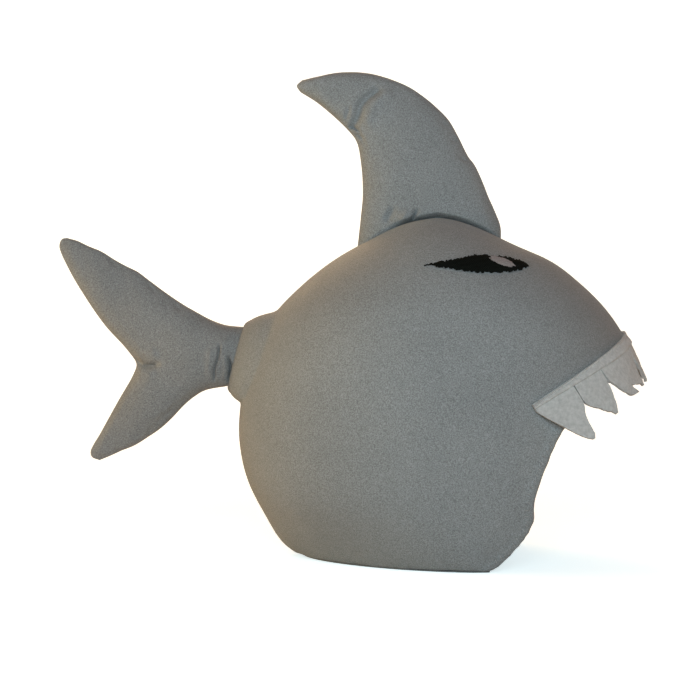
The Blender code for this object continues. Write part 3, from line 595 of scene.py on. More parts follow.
def drawn_to_tail(points):
    """The knit at the back, drawn out into a short sleeve that the tail is sewn to."""
    x, y, z = points.T
    middle, tall, wide = 0.14295, 0.02125, 0.0135
    away = np.hypot(y / wide, (z - middle) / tall)
    up = np.clip((z - middle) / tall / np.maximum(away, 1e-6), -1, 1)
    flat = 1 - np.abs(up) ** 1.5
    sleeve = np.where(up > 0, 0.31, 0.37) + 1.9 * flat
    bend = np.where(up > 0, 2.3, 1.8) * (1 - flat) + 1.12 * flat
    wall_end = 1.54 + 2.0 * flat
    calm = wall_end + 0.9
    near = (away < calm) & (x < 0.0)
    turn = np.clip((away - 0.55) / (wall_end - 0.55), 0.0, 1.0) * math.pi / 2
    ring = np.where(away < 0.55, away / 0.55, 1 + sleeve * np.sin(turn) ** (2 / bend))
    rest = np.clip((away - wall_end) / (calm - wall_end), 0.0, 1.0)
    ring = np.where(away > wall_end, 1 + sleeve + rest * (calm - 1 - sleeve), ring)
    pull = np.where(away < 0.55, 1.0, np.clip(np.cos(turn), 0, 1) ** (2 / bend))
    scale = ring / np.maximum(away, 1e-6)
    new_y, new_z = y * scale, middle + (z - middle) * scale
    base = back_x(new_y, new_z)
    new_x = base + (np.minimum(root_x(new_z) + 0.0002, base) - base) * pull
    moved = points.copy()
    moved[near] = np.stack([new_x, new_y, new_z], axis=1)[near]
    return moved


def grid_normals(cells):
    """Outward directions of a grid of points, shaped rows x columns x 3."""
    normals = np.cross(np.gradient(cells, axis=1), np.gradient(cells, axis=0))
    normals /= np.maximum(np.linalg.norm(normals, axis=2), 1e-12)[:, :, None]
    outward = ((cells - np.array(MIDDLE)) * normals).sum()
    return normals if outward > 0 else -normals


def eased(cells, mask, rounds):
    """Relaxes the marked part of a grid towards the mean of its neighbours."""
    for _ in range(rounds):
        mean = cells.copy()
        mean[1:-1, 1:-1] = (cells[:-2, 1:-1] + cells[2:, 1:-1]
                            + cells[1:-1, :-2] + cells[1:-1, 2:]) / 4
        cells = cells + (mean - cells) * mask[:, :, None]
    return cells


def nearest(points, line):
    """Distance from each point to a sampled line, and which sample is the nearest."""
    best = np.full(len(points), 1e9)
    sample = np.zeros(len(points), dtype=int)
    for k, spot in enumerate(line):
        gap = np.linalg.norm(points - spot, axis=1)
        closer = gap < best
        best[closer] = gap[closer]
        sample[closer] = k
    return best, sample


def face_edge_line(samples, bottom=0.0):
    """The face opening's edge on the left, from the rim up to the middle of the brim."""
    z = bottom + (brim_height(0.0, 0.0) - bottom) * np.sin(np.linspace(0, math.pi / 2, samples))
    angle = edge_angle(z)
    angle[-1] = 0.0
    line = body_point(angle, z)
    line[-1, 1] = 0.0
    return line


def ripple(place, pitch, seed):
    """Uneven wave along a seam."""
    return np.array([noise.noise(Vector((p / pitch, seed, 0.3))) for p in place])


def rolled(inside, radius):
    """How far a rounded edge falls away at a distance inside that edge."""
    fall = radius - np.sqrt(np.maximum(radius ** 2 - (radius - inside) ** 2, 0.0))
    return np.where(inside < radius, fall, 0.0)


FACE_ROLL, RIM_ROLL = 0.0024, 0.0030   # radii of the knit where it turns over the two edges
HELD_DOWN = 0.0064                     # the ladder stitches pull the knit in this far from the edge


def hood_place(u, v):
    """Left half of the hood: u from the seam at the back to the face, v from rim to crown."""
    columns = u - 0.80 * np.sin(2 * math.pi * u) / (2 * math.pi)
    brim_row = round(ROWS_ON_EDGE ** 0.8 * HOOD_ROWS) / HOOD_ROWS
    rows = np.where(v < brim_row, ROWS_ON_EDGE * np.minimum(v / brim_row, 1.0) ** 1.25,
                    ROWS_ON_EDGE + (1 - ROWS_ON_EDGE) * (v - brim_row) / (1 - brim_row))
    points = half_layer(columns, rows, 0.0, 0.0002)
    cells = points.reshape(HOOD_ROWS + 1, HOOD_COLUMNS + 1, 3)
    soft = cells.copy()
    for _ in range(14):
        soft[:, 1:-1] = (soft[:, :-2] + 2 * soft[:, 1:-1] + soft[:, 2:]) / 4
    cells[:, 8:-8] = soft[:, 8:-8]
    points = drawn_to_tail(cells.reshape(-1, 3))
    cells = points.reshape(cells.shape)
    x, y, z = cells[:, :, 0], cells[:, :, 1], cells[:, :, 2]
    by_tail = smooth(-x, 0.040, 0.055) * smooth(z, 0.085, 0.10) * (1 - smooth(z, 0.18, 0.195))
    by_tail = by_tail * (1 - smooth(y, 0.055, 0.070))
    cells = eased(cells, by_tail * 0.7, 3)
    cells[:, 0, 1] = 0.0
    normals = grid_normals(cells)
    points = cells.reshape(-1, 3)
    edge_line = face_edge_line(260)
    away, sample = nearest(points, edge_line)
    from_edge = away.reshape(x.shape)
    waves = ripple(lengths(edge_line)[sample], 0.0045, 2.0).reshape(x.shape)
    lift = 0.0009 * smooth(0.0085 - from_edge, 0.0, 0.0022)
    lift += 0.0007 * waves * np.exp(-((from_edge - 0.0068) / 0.0042) ** 2)
    lift -= 0.0006 * np.exp(-((from_edge - HELD_DOWN) / 0.0008) ** 2)
    lift -= rolled(from_edge, FACE_ROLL)
    seam = np.abs(cells[:, :, 1])
    lift += 0.0005 * np.exp(-((seam - 0.0022) / 0.0016) ** 2)
    lift -= 0.0011 * np.exp(-(seam / 0.0007) ** 2)
    low = cells[:, :, 2]
    lift -= rolled(low, RIM_ROLL)
    around = np.arctan2(cells[:, :, 1], cells[:, :, 0] - 0.05)
    pucker = ripple((around * 0.10).ravel(), 0.006, 5.0).reshape(x.shape)
    lift += 0.0006 * pucker * np.exp(-(low / 0.010) ** 2)
    broad = np.array([noise.noise(Vector(p) * 16.0) for p in cells.reshape(-1, 3)])
    lift += 0.0005 * broad.reshape(x.shape)
    centred = cells[:, :, 1] < 1e-6
    normals[centred, 1] = 0.0
    cells = cells + normals * lift[:, :, None]
    cells[:, :, 2] = np.maximum(cells[:, :, 2], 0.0003)
    return cells.reshape(-1, 3)


def knit_group():
    """Rows of V-shaped loops in a stretched jersey."""
    group = bpy.data.node_groups.new("knit loops", "ShaderNodeTree")
    group.interface.new_socket("Cloth", in_out="INPUT", socket_type="NodeSocketVector")
    group.interface.new_socket("Loops per metre", in_out="INPUT", socket_type="NodeSocketFloat")
    group.interface.new_socket("Height", in_out="OUTPUT", socket_type="NodeSocketFloat")
    start = group.nodes.new("NodeGroupInput")
    end = group.nodes.new("NodeGroupOutput")

    def maths(kind, a, b=None):
        node = group.nodes.new("ShaderNodeMath")
        node.operation = kind
        for k, value in enumerate((a, b)):
            if isinstance(value, (int, float)):
                node.inputs[k].default_value = value
            elif value is not None:
                group.links.new(value, node.inputs[k])
        return node.outputs[0]

    scaled = group.nodes.new("ShaderNodeVectorMath")
    scaled.operation = "SCALE"
    group.links.new(start.outputs["Cloth"], scaled.inputs[0])
    group.links.new(start.outputs["Loops per metre"], scaled.inputs["Scale"])
    parts = group.nodes.new("ShaderNodeSeparateXYZ")
    group.links.new(scaled.outputs[0], parts.inputs[0])
    wale = maths("ABSOLUTE", maths("SINE", maths("MULTIPLY", parts.outputs["X"], math.pi)))
    across = maths("PINGPONG", parts.outputs["X"], 0.5)
    slant = maths("ADD", maths("MULTIPLY", parts.outputs["Y"], 1.25), across)
    course = maths("ADD", maths("MULTIPLY", maths("SINE", maths("MULTIPLY", slant, 2 * math.pi)),
                                0.5), 0.5)
    height = maths("ADD", maths("MULTIPLY", wale, 0.65), maths("MULTIPLY", course, 0.35))
    group.links.new(height, end.inputs["Height"])
    return group


KNIT = knit_group()
LOOPS_PER_METRE = 1500.0


def knit_material(name, light, dark):
    """Stretch knit with its own colour, plus painted shade in the valleys between the loops and
    painted light on their tops.
    """
    made, tree, surface = finish_material(name, light, 0.66, 0.32)
    cloth = tree.nodes.new("ShaderNodeUVMap")
    loops_node = tree.nodes.new("ShaderNodeGroup")
    loops_node.node_tree = KNIT
    loops_node.inputs["Loops per metre"].default_value = LOOPS_PER_METRE
    tree.links.new(cloth.outputs["UV"], loops_node.inputs["Cloth"])
    where = tree.nodes.new("ShaderNodeTexCoord").outputs["Object"]
    _, ramp = mottled(tree, surface, light, dark, 14.0, where, 5.0, (0.30, 0.70))
    grain = new_node(tree, "ShaderNodeTexNoise", Scale=1350.0, Detail=1.0)
    tree.links.new(where, grain.inputs["Vector"])
    speck = new_node(tree, "ShaderNodeMapRange", From_Min=0.30, From_Max=0.70,
                     To_Min=0.66, To_Max=1.34)
    tree.links.new(grain.outputs["Fac"], speck.inputs["Value"])
    # Painted shade and light: the colour is darkened in the valleys between the knit loops and
    # lightened on their tops, following the loop height.
    loop_valley_shade = new_node(tree, "ShaderNodeMapRange", To_Min=0.72, To_Max=1.12)
    tree.links.new(loops_node.outputs["Height"], loop_valley_shade.inputs["Value"])
    both = new_node(tree, "ShaderNodeMath")
    both.operation = "MULTIPLY"
    tree.links.new(speck.outputs["Result"], both.inputs[0])
    tree.links.new(loop_valley_shade.outputs["Result"], both.inputs[1])
    tinted = tree.nodes.new("ShaderNodeVectorMath")
    tinted.operation = "SCALE"
    tree.links.new(ramp.outputs["Color"], tinted.inputs[0])
    tree.links.new(both.outputs[0], tinted.inputs["Scale"])
    tree.links.new(tinted.outputs[0], surface.inputs["Base Color"])
    raised(tree, surface, loops_node.outputs["Height"], 0.35, 0.0003)
    surface.inputs["Sheen Weight"].default_value = 0.12
    surface.inputs["Sheen Roughness"].default_value = 0.5
    return made


hood_knit = knit_material("hood knit", (0.215, 0.225, 0.225), (0.185, 0.195, 0.197))
hood = laid_grid("hood", HOOD_COLUMNS, HOOD_ROWS, hood_place)
turn_outward(hood)
both_sides(hood)
finish_with(hood, "SOLIDIFY", thickness=0.0010, offset=-1.0)
shaded(hood, hood_knit, 75)
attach(hood, "root")
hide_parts("cover_left", "cover_right")

# The turned edges.  The same knit goes under the rim, gathered on a band of elastic, and in over
# the front edge of the helmet, held by a row of ladder stitches round the face opening.
# The turned-in knit is the hood's knit coloured darker: painted shade for the edges under the rim
# and inside the face opening.
rim_knit_painted_shade = knit_material("turned-in knit with painted shade", (0.17, 0.175, 0.175), (0.13, 0.135, 0.137))


def under_rim(u, v):
    """Knit under the rim: u round the back from one face edge to the other, v inward."""
    depth = 0.0022 + 0.0238 * v
    points = np.empty((len(u), 3))
    for row in np.unique(depth):
        pick = depth == row
        end = float(edge_angle(np.array(0.0), round(float(row), 6)))
        angle = end + (2 * math.pi - 2 * end) * u[pick]
        points[pick] = body_point(angle, np.zeros(pick.sum()), round(float(row), 6))
    gathers = ripple(u * 0.55, 0.0055, 9.0)
    points[:, 2] = 0.0001 + (0.0010 + 0.0016 * gathers) * smooth(v, 0.05, 0.6) * (v > 0)
    points[:, 2] = np.maximum(points[:, 2], 0.0001)
    return points


hem = laid_grid("gathered_hem", 420, 14, under_rim)
turn_towards(hem, (0, 0, -1))
finish_with(hem, "SOLIDIFY", thickness=0.0009, offset=-1.0)
shaded(hem, rim_knit_painted_shade, 75)
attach(hem, "root")
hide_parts("hem_band")

braid, tree, surface = finish_material("elastic braid", (0.58, 0.58, 0.55), 0.85, 0.2)
where = tree.nodes.new("ShaderNodeTexCoord").outputs["Object"]
cloud, _ = mottled(tree, surface, (0.62, 0.62, 0.59), (0.42, 0.42, 0.40), 1500.0, where)
raised(tree, surface, cloud.outputs["Fac"], 0.5, 0.0003)


def elastic_band(u, v):
    """The crimped elastic in the hem: u along it, v round it."""
    end = float(edge_angle(np.array(0.0), 0.0225)) + 0.03
    angle = end + (2 * math.pi - 2 * end) * u
    middle = body_point(angle, np.zeros(len(u)), 0.0225)
    inward = np.array([0.06, 0.0, 0.0]) - middle
    inward[:, 2] = 0.0
    inward /= np.linalg.norm(inward, axis=1)[:, None]
    turn = 2 * math.pi * v
    crimp = 1 + 0.12 * np.sin(u * 2 * math.pi * 210)
    points = middle + inward * (0.0021 * np.cos(turn) * crimp)[:, None]
    points[:, 2] = 0.0034 + 0.0011 * np.sin(turn) * crimp
    return points


elastic = laid_grid("hem_elastic_band", 900, 10, elastic_band)
mended(elastic, merge=0.00002, fill=True, recalculate=True)
shaded(elastic, braid, 60)
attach(elastic, "root")
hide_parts("hem_elastic")


def over_front(u, v):
    """Knit turned in at the left of the face opening: u from the rim to the brim, v inward."""
    points = np.empty((len(u), 3))
    for row in np.unique(v):
        pick = v == row
        depth = round(float(0.0018 + 0.0130 * row), 6)
        inset = 0.0002 + 0.0010 * smooth(row, 0.0, 0.15)
        top = brim_height(depth, inset)
        z = 0.0030 + (top - 0.0030) * np.sin(math.pi / 2 * u[pick])
        angle = edge_angle(z, depth, inset)
        last = u[pick] > 1 - 1e-6
        angle[last] = 0.0
        spots = body_point(angle, z, depth)
        spots[last, 1] = 0.0
        points[pick] = spots
    gathers = ripple(u * 0.24, 0.0060, 4.0) * smooth(v, 0.0, 0.3)
    points[:, 0] += 0.0008 * gathers - 0.0003 * smooth(v, 0.0, 0.2)
    points[u > 1 - 1e-6, 1] = 0.0
    return points


fold = laid_grid("face_fold", 220, 14, over_front)
turn_towards(fold, (1, 0, 0))
both_sides(fold)
finish_with(fold, "SOLIDIFY", thickness=0.0008, offset=-1.0)
shaded(fold, rim_knit_painted_shade, 75)
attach(fold, "root")
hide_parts("face_hem")

# The ladder stitches.  Grey polyester thread, one short stitch after another across the turned
# edge, pulled tight enough to pucker the knit round the face opening and under the rim.
thread, tree, surface = finish_material("grey sewing thread", (0.33, 0.33, 0.32), 0.6, 0.4)
where = tree.nodes.new("ShaderNodeTexCoord").outputs["Object"]
twist = new_node(tree, "ShaderNodeTexWave", Scale=900.0, Distortion=0.5)
twist.bands_direction = "DIAGONAL"
tree.links.new(where, twist.inputs["Vector"])
mottled(tree, surface, (0.40, 0.40, 0.39), (0.22, 0.22, 0.215), 1200.0, where)
raised(tree, surface, twist.outputs["Fac"], 0.6, 0.0002)

bpy.ops.object.select_all(action="DESELECT")
bpy.ops.mesh.primitive_cylinder_add(vertices=8, radius=0.00022, depth=1.0, location=(0, 0, 0))
stitch = bpy.context.object
stitch.name = "one_stitch"
bpy.ops.object.mode_set(mode="EDIT")
for height in (-0.3, 0.0, 0.3):
    bpy.ops.mesh.select_all(action="SELECT")
    bpy.ops.mesh.bisect(plane_co=(0, 0, height), plane_no=(0, 0, 1))
bpy.ops.object.mode_set(mode="OBJECT")
pattern = [v.co.copy() for v in stitch.data.vertices]
STITCH_PITCH = 0.0042
STITCH_ENDS = (0.0042, 0.0082)   # distances of a stitch's two ends from the folded edge
face_line = resample(face_edge_line(400, bottom=0.004), 400)
run = np.gradient(face_line, axis=0)
run /= np.linalg.norm(run, axis=1)[:, None]
around = np.linalg.norm(np.diff(face_line, axis=0), axis=1).sum()
count = int(around / STITCH_PITCH)
copies = []
for k in range(2 * count):
    side = 1 if k < count else -1
    along_line = int((k % count + 0.5) / count * (len(face_line) - 1))
    spot, forward = face_line[along_line], run[along_line]
    outward = spot - np.array([0.055, 0.0, 0.10])
    outward -= forward * outward.dot(forward)
    outward /= np.linalg.norm(outward)
    inward = np.cross(outward, forward)
    inward *= 1 if inward[0] < 0 else -1
    ends = []
    for reach in STITCH_ENDS:
        place = spot + inward * reach + forward * 0.0006 * (1 if reach > 0.005 else -1)
        y = side_y(np.array([place[0]]), np.array([place[2]]))[0]
        ends.append(np.array([place[0], y, place[2]]))
    along = ends[1] - ends[0]
    copy = stitch.data.copy()
    for vert, old_place in zip(copy.vertices, pattern):
        t = old_place.z + 0.5
        bulge = 0.0011 + 0.00035 * math.sin(math.pi * t) - 0.0009 * abs(2 * t - 1) ** 4
        centre = ends[0] + along * t + outward * bulge
        vert.co = Vector(centre + forward * old_place.x + outward * old_place.y)
        vert.co.y *= side
    if side < 0:
        copy.flip_normals()
    made = bpy.data.objects.new(f"stitch_{k}", copy)
    bpy.context.collection.objects.link(made)
    copies.append(made)
stitching = joined(copies)
stitching.name = "face_stitching"
bpy.data.objects.remove(stitch)
mended(stitching, recalculate=True)
shaded(stitching, thread, 60)
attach(stitching, "root")

# The tail.  Two knit halves sewn edge to edge, turned and stuffed, then sewn shut onto the sleeve
# at the back of the hood.  The stuffing thins towards the two points.
TAIL_TOP = (
    TAIL_ROOT[1], (-0.094, 0.1656), (-0.104, 0.1690), (-0.1150, 0.1748), (-0.126, 0.1812),
    (-0.1375, 0.1890), (-0.1490, 0.1975), (-0.1580, 0.2042), (-0.1655, 0.2078), (-0.1735, 0.2122),
    (-0.1840, 0.2187), (-0.1925, 0.2222), (-0.2010, 0.2262), (-0.2085, 0.2283),
)
TAIL_BOTTOM = (
    TAIL_ROOT[0], (-0.109, 0.1185), (-0.1175, 0.1135), (-0.124, 0.1080), (-0.1325, 0.0990),
    (-0.141, 0.0912), (-0.1500, 0.0850), (-0.160, 0.0788), (-0.1690, 0.0752), (-0.1755, 0.0722),
    (-0.1850, 0.0682),
)
TAIL_REAR = (
    TAIL_BOTTOM[-1], (-0.1905, 0.0706), (-0.1915, 0.0745), (-0.184, 0.0885), (-0.171, 0.112),
    (-0.1605, 0.1305), (-0.1585, 0.1375), (-0.1650, 0.1475), (-0.1812, 0.1655), (-0.1960, 0.1868),
    (-0.2075, 0.2065), (-0.2140, 0.2225), (-0.2120, 0.2275), TAIL_TOP[-1],
)
stuffed_knit = knit_material("stuffed knit", (0.205, 0.205, 0.200), (0.175, 0.176, 0.173))


def flat_shape(bottom, top, rear, first=None):
    """Flat pattern between four edges, as (x, z) for u from root to tip and v from edge to edge."""
    low, high, far = spline(bottom), spline(top), spline(rear)
    near = spline(first) if first is not None else np.linspace(low[0], high[0], 1200)

    def at(path, share):
        place = np.linspace(0.0, 1.0, len(path))
        return np.stack([np.interp(share, place, path[:, k]) for k in range(2)], axis=-1)

    def flat(u, v):
        u_, v_ = u[..., None], v[..., None]
        ruled = (1 - v_) * at(low, u) + v_ * at(high, u) + (1 - u_) * at(near, v) + u_ * at(far, v)
        bent = ((1 - u_) * (1 - v_) * low[0] + u_ * (1 - v_) * low[-1]
                + (1 - u_) * v_ * high[0] + u_ * v_ * high[-1])
        return ruled - bent
    return flat


CREASE_END = 0.006   # a crease fades out over this length


def crease(points, path, depth, width):
    """Dent along a path on a flat shape, as (x, z) places, fading towards the path's ends."""
    line = spline(path, 80)
    gap, sample = nearest(points, line)
    place = np.linspace(0.0, 1.0, len(line))[sample]
    length = np.linalg.norm(np.diff(line, axis=0), axis=1).sum()
    fade = smooth(np.minimum(place, 1 - place) * length, -0.001, CREASE_END)
    return depth * np.exp(-(gap / width) ** 2) * fade


def rounded(size, u, v, blunt):
    """Thickness that falls away to the sewn edges; a high blunt keeps it full near the end."""
    return size * np.sqrt(np.clip(4 * v * (1 - v), 0, 1)) * np.sqrt(np.clip(1 - u ** blunt, 0, 1))


def stuffed_piece(name, columns, rows, flat, thickness, dents, seam_pitch, seed):
    """Two sewn halves of a stuffed shape, closed along the edges and open where it is sewn on."""
    sides = []
    for side in (-1, 1):
        def place(u, v, side=side):
            spread_u, spread_v = (w - 0.55 * np.sin(2 * math.pi * w) / (2 * math.pi)
                                  for w in (u, v))
            spots = flat(spread_u, spread_v)
            plump = thickness(spread_u, spread_v, spots[:, 0], spots[:, 1])
            rim = np.minimum(spread_v, 1 - spread_v)
            wide = np.linalg.norm(flat(spread_u, np.ones_like(v)) - flat(spread_u, 0 * v), axis=1)
            from_seam = np.minimum(rim * wide, (1 - spread_u) * 0.10)
            along = spread_u * 0.16 + 0.3 * (v > 0.5)
            waves = ripple(along, seam_pitch, seed + side)
            puckers = 0.0011 * waves * np.exp(-from_seam / 0.008)
            plump = plump + puckers * smooth(from_seam, 0, 0.003)
            broad = np.array([noise.noise(Vector((x * 38, side * 3.1 + seed, z * 38)))
                              for x, z in spots])
            plump = plump + 0.0010 * broad * smooth(from_seam, 0.003, 0.012)
            for path, depth, width, which in dents:
                if which in (0, side):
                    plump = plump - crease(spots, path, depth, width)
            closed = (v < 1e-6) | (v > 1 - 1e-6) | (u > 1 - 1e-6)
            plump = np.where(closed, 0.0, np.maximum(plump, 0.0004))
            return np.stack([spots[:, 0], plump * side, spots[:, 1]], axis=-1)
        half = laid_grid(f"{name}_{side}", columns, rows, place)
        turn_towards(half, (0, side, 0))
        sides.append(half)
    piece = joined(sides)
    piece.name = piece.data.name = name
    mended(piece, merge=0.00003)
    return piece


(x0, z0), (x1, z1) = TAIL_ROOT
tail_up = np.array([x1 - x0, z1 - z0]) / math.hypot(x1 - x0, z1 - z0)
tail_back = np.array([-tail_up[1], tail_up[0]])
tail_seam = np.array([(x0 + x1) / 2, (z0 + z1) / 2])


def tail_thickness(u, v, x, z):
    behind = (x - tail_seam[0]) * tail_back[0] + (z - tail_seam[1]) * tail_back[1]
    size = 0.0155 * (1 - 0.30 * smooth(behind, 0.02, 0.10))
    size = size * (0.86 + 0.14 * smooth(behind, 0.0, 0.010))
    return rounded(size, u, v, 9)


# Creases of the tail and the fin: path, depth (below 0 for a fold that stands up), width, and the
# side that it is on, 1 for the left, -1 for the right and 0 for both.
TAIL_DENTS = (
    (((-0.0915, 0.1440), (-0.0900, 0.1370), (-0.0905, 0.1320), (-0.0925, 0.1240)),
     0.0046, 0.0007, -1),
    (((-0.0940, 0.1450), (-0.0935, 0.1360), (-0.0950, 0.1250)), -0.0010, 0.0016, -1),
    (((-0.0975, 0.1530), (-0.0985, 0.1430), (-0.1010, 0.1350), (-0.1020, 0.1240)),
     0.0030, 0.0008, -1),
    (((-0.1035, 0.1500), (-0.1045, 0.1400), (-0.1055, 0.1280)), -0.0010, 0.0022, -1),
    (((-0.0925, 0.1560), (-0.0960, 0.1450), (-0.0970, 0.1330)), 0.0034, 0.0009, 1),
    (((-0.1020, 0.1480), (-0.1040, 0.1380), (-0.1080, 0.1270)), 0.0024, 0.0011, 1),
    (((-0.1605, 0.1430), (-0.1545, 0.1380), (-0.1470, 0.1368), (-0.1390, 0.1382)),
     0.0040, 0.0017, 0),
    (((-0.1600, 0.1480), (-0.1500, 0.1450), (-0.1400, 0.1450)), -0.0014, 0.0040, 0),
    (((-0.1600, 0.1320), (-0.1500, 0.1300), (-0.1420, 0.1300)), -0.0012, 0.0040, 0),
    (((-0.1790, 0.2160), (-0.1760, 0.2110), (-0.1720, 0.2070)), 0.0016, 0.0013, 0),
    (((-0.1500, 0.1985), (-0.1480, 0.1930), (-0.1430, 0.1880)), 0.0018, 0.0014, 0),
    (((-0.1300, 0.1845), (-0.1290, 0.1790), (-0.1250, 0.1750)), 0.0014, 0.0014, 0),
    (((-0.1500, 0.0850), (-0.1480, 0.0900), (-0.1440, 0.0940)), 0.0016, 0.0014, 0),
)
tail = stuffed_piece("stuffed_tail", 130, 170, flat_shape(TAIL_BOTTOM, TAIL_TOP, TAIL_REAR),
                     tail_thickness, TAIL_DENTS, 0.010, 1.0)
shaded(tail, stuffed_knit, 80)
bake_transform(tail)
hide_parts("tail_skin_left", "tail_skin_right", "tail_filling")

# The dorsal fin.  Made like the tail, with a firmer filling, and sewn on upright along the crown.
# It bulges over its base seam and is creased where the thin rear edge bends.
FIN_LEADING = (
    (0.1048, 0.2282), (0.1036, 0.2365), (0.0996, 0.2475), (0.0950, 0.2578), (0.0905, 0.2693),
    (0.0850, 0.2808), (0.0806, 0.2866), (0.0728, 0.3020), (0.0662, 0.3133), (0.0560, 0.3236),
    (0.0499, 0.3287), (0.0364, 0.3376), (0.0110, 0.3463), (-0.0112, 0.3474), (-0.0285, 0.3443),
    (-0.0393, 0.3418),
)
FIN_TRAILING = (
    (0.0006, 0.2230), (0.0030, 0.2426), (0.0045, 0.2600), (0.0032, 0.2822), (0.0, 0.2975),
    (-0.0066, 0.3063), (-0.0275, 0.3250), (-0.0405, 0.3333),
)
FIN_TIP = (FIN_TRAILING[-1], (-0.0430, 0.3378), FIN_LEADING[-1])
crown_line = np.concatenate([OUTLINES["back"], OUTLINES["front"][::-1]])
crown_line = crown_line[crown_line[:, 1] > 0.19]
fin_base = [(x, float(np.interp(x, crown_line[:, 0], crown_line[:, 1])) - 0.0008)
            for x in np.linspace(0.0006, 0.1040, 9)]


def fin_thickness(u, v, x, z):
    size = 0.0165 * (1 - 0.45 * smooth(z, 0.262, 0.345))
    height = z - np.interp(x, crown_line[:, 0], crown_line[:, 1])
    tucked = 0.50 + 0.36 * (1 - smooth(x, 0.022, 0.036))
    size = size * (tucked + (1 - tucked) * np.sqrt(np.clip(height / 0.0030, 0.0, 1.0)))
    return rounded(size, u, v, 10)


FIN_DENTS = (
    (((0.0435, 0.2480), (0.0405, 0.2425), (0.0360, 0.2360), (0.0330, 0.2325)), 0.0050, 0.0010, -1),
    (((0.0375, 0.2470), (0.0345, 0.2430), (0.0300, 0.2370)), -0.0022, 0.0030, -1),
    (((0.0280, 0.2500), (0.0245, 0.2450), (0.0205, 0.2370)), 0.0022, 0.0026, -1),
    (((0.0420, 0.2470), (0.0385, 0.2410), (0.0345, 0.2350)), 0.0040, 0.0014, 1),
    (((-0.0045, 0.3050), (0.0005, 0.3140), (0.0040, 0.3240), (0.0180, 0.3360)), 0.0040, 0.0026, 0),
    (((0.0055, 0.3060), (0.0095, 0.3150), (0.0140, 0.3240), (0.0260, 0.3340)), -0.0018, 0.0042, 0),
    (((-0.0066, 0.3085), (-0.0015, 0.3070), (0.0035, 0.3028)), 0.0032, 0.0010, 0),
    (((-0.0040, 0.3020), (0.0015, 0.3015), (0.0060, 0.2975)), 0.0030, 0.0010, 0),
    (((0.0000, 0.2965), (0.0045, 0.2960), (0.0080, 0.2930)), 0.0016, 0.0012, 0),
    (((-0.0090, 0.3100), (-0.0070, 0.3150), (-0.0050, 0.3230)), 0.0018, 0.0015, 0),
    (((0.0745, 0.2992), (0.0700, 0.2975), (0.0650, 0.2985)), 0.0026, 0.0010, 0),
    (((0.0818, 0.2850), (0.0770, 0.2838), (0.0725, 0.2848)), 0.0024, 0.0010, 0),
    (((0.0668, 0.3120), (0.0620, 0.3095), (0.0580, 0.3100)), 0.0018, 0.0012, 0),
)
fin = stuffed_piece("stuffed_fin", 140, 120,
                    flat_shape((fin_base[0],) + FIN_TRAILING[1:], (fin_base[-1],) + FIN_LEADING[1:],
                               FIN_TIP, fin_base),
                    fin_thickness, FIN_DENTS, 0.011, 7.0)
shaded(fin, hood_knit, 80)
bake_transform(fin)
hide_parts("fin_skin_left", "fin_skin_right", "fin_filling")

# The eyes.  Black thread worked straight onto the hood in close diagonal stitches, with a small
# pale patch near the front for the shine.
EYE_TOP = (
    (0.0445, 0.2036), (0.0480, 0.2048), (0.0540, 0.2063), (0.0640, 0.2080), (0.0780, 0.2112),
    (0.0900, 0.2113), (0.1050, 0.2093), (0.1130, 0.2072), (0.1160, 0.2038),
)
EYE_BOTTOM = (
    (0.0445, 0.2036), (0.0480, 0.2030), (0.0550, 0.2021), (0.0684, 0.1999), (0.0817, 0.1986),
    (0.0976, 0.1990), (0.1090, 0.2009), (0.1160, 0.2038),
)


def on_hood(x, z, side, lift):
    """Places on the hood seen at (x, z) from one side, raised off it."""
    step = 0.0008
    y = side_y(x, z)
    slope_x = (side_y(x + step, z) - side_y(x - step, z)) / (2 * step)
    slope_z = (side_y(x, z + step) - side_y(x, z - step)) / (2 * step)
    normal = np.stack([-slope_x, np.ones_like(x), -slope_z], axis=-1)
    normal /= np.linalg.norm(normal, axis=-1)[..., None]
    points = np.stack([x, y, z], axis=-1) + normal * np.asarray(lift)[..., None]
    points[..., 1] *= side
    return points


THREAD_SCALE, THREAD_SLANT = 330.0, 0.9


def thread_material(name, light, dark, roughness, specular):
    """Close parallel stitches of shiny thread."""
    made, tree, surface = finish_material(name, light, roughness, specular)
    where = tree.nodes.new("ShaderNodeTexCoord").outputs["Object"]
    turned = new_node(tree, "ShaderNodeMapping", Rotation=(0.0, THREAD_SLANT, 0.0))
    tree.links.new(where, turned.inputs["Vector"])
    rows = new_node(tree, "ShaderNodeTexWave", Scale=THREAD_SCALE, Distortion=1.4, Detail=2.0)
    rows.bands_direction = "X"
    tree.links.new(turned.outputs["Vector"], rows.inputs["Vector"])
    mottled(tree, surface, light, dark, 900.0, where, 3.0, (0.3, 0.7))
    raised(tree, surface, rows.outputs["Fac"], 0.8, 0.0004)
    return made


black_thread = thread_material("black thread", (0.006, 0.008, 0.007), (0.002, 0.003, 0.002),
                               0.7, 0.06)
pale_thread = thread_material("pale thread", (0.30, 0.26, 0.25), (0.19, 0.165, 0.16), 0.5, 0.3)
eye_top, eye_bottom = spline(EYE_TOP), spline(EYE_BOTTOM)


def jagged(x, amount, seed):
    """Uneven ends of stitches along an edge."""
    return amount * (np.array([noise.cell(Vector((p / 0.00100, seed, 0.5))) for p in x]) - 0.5)


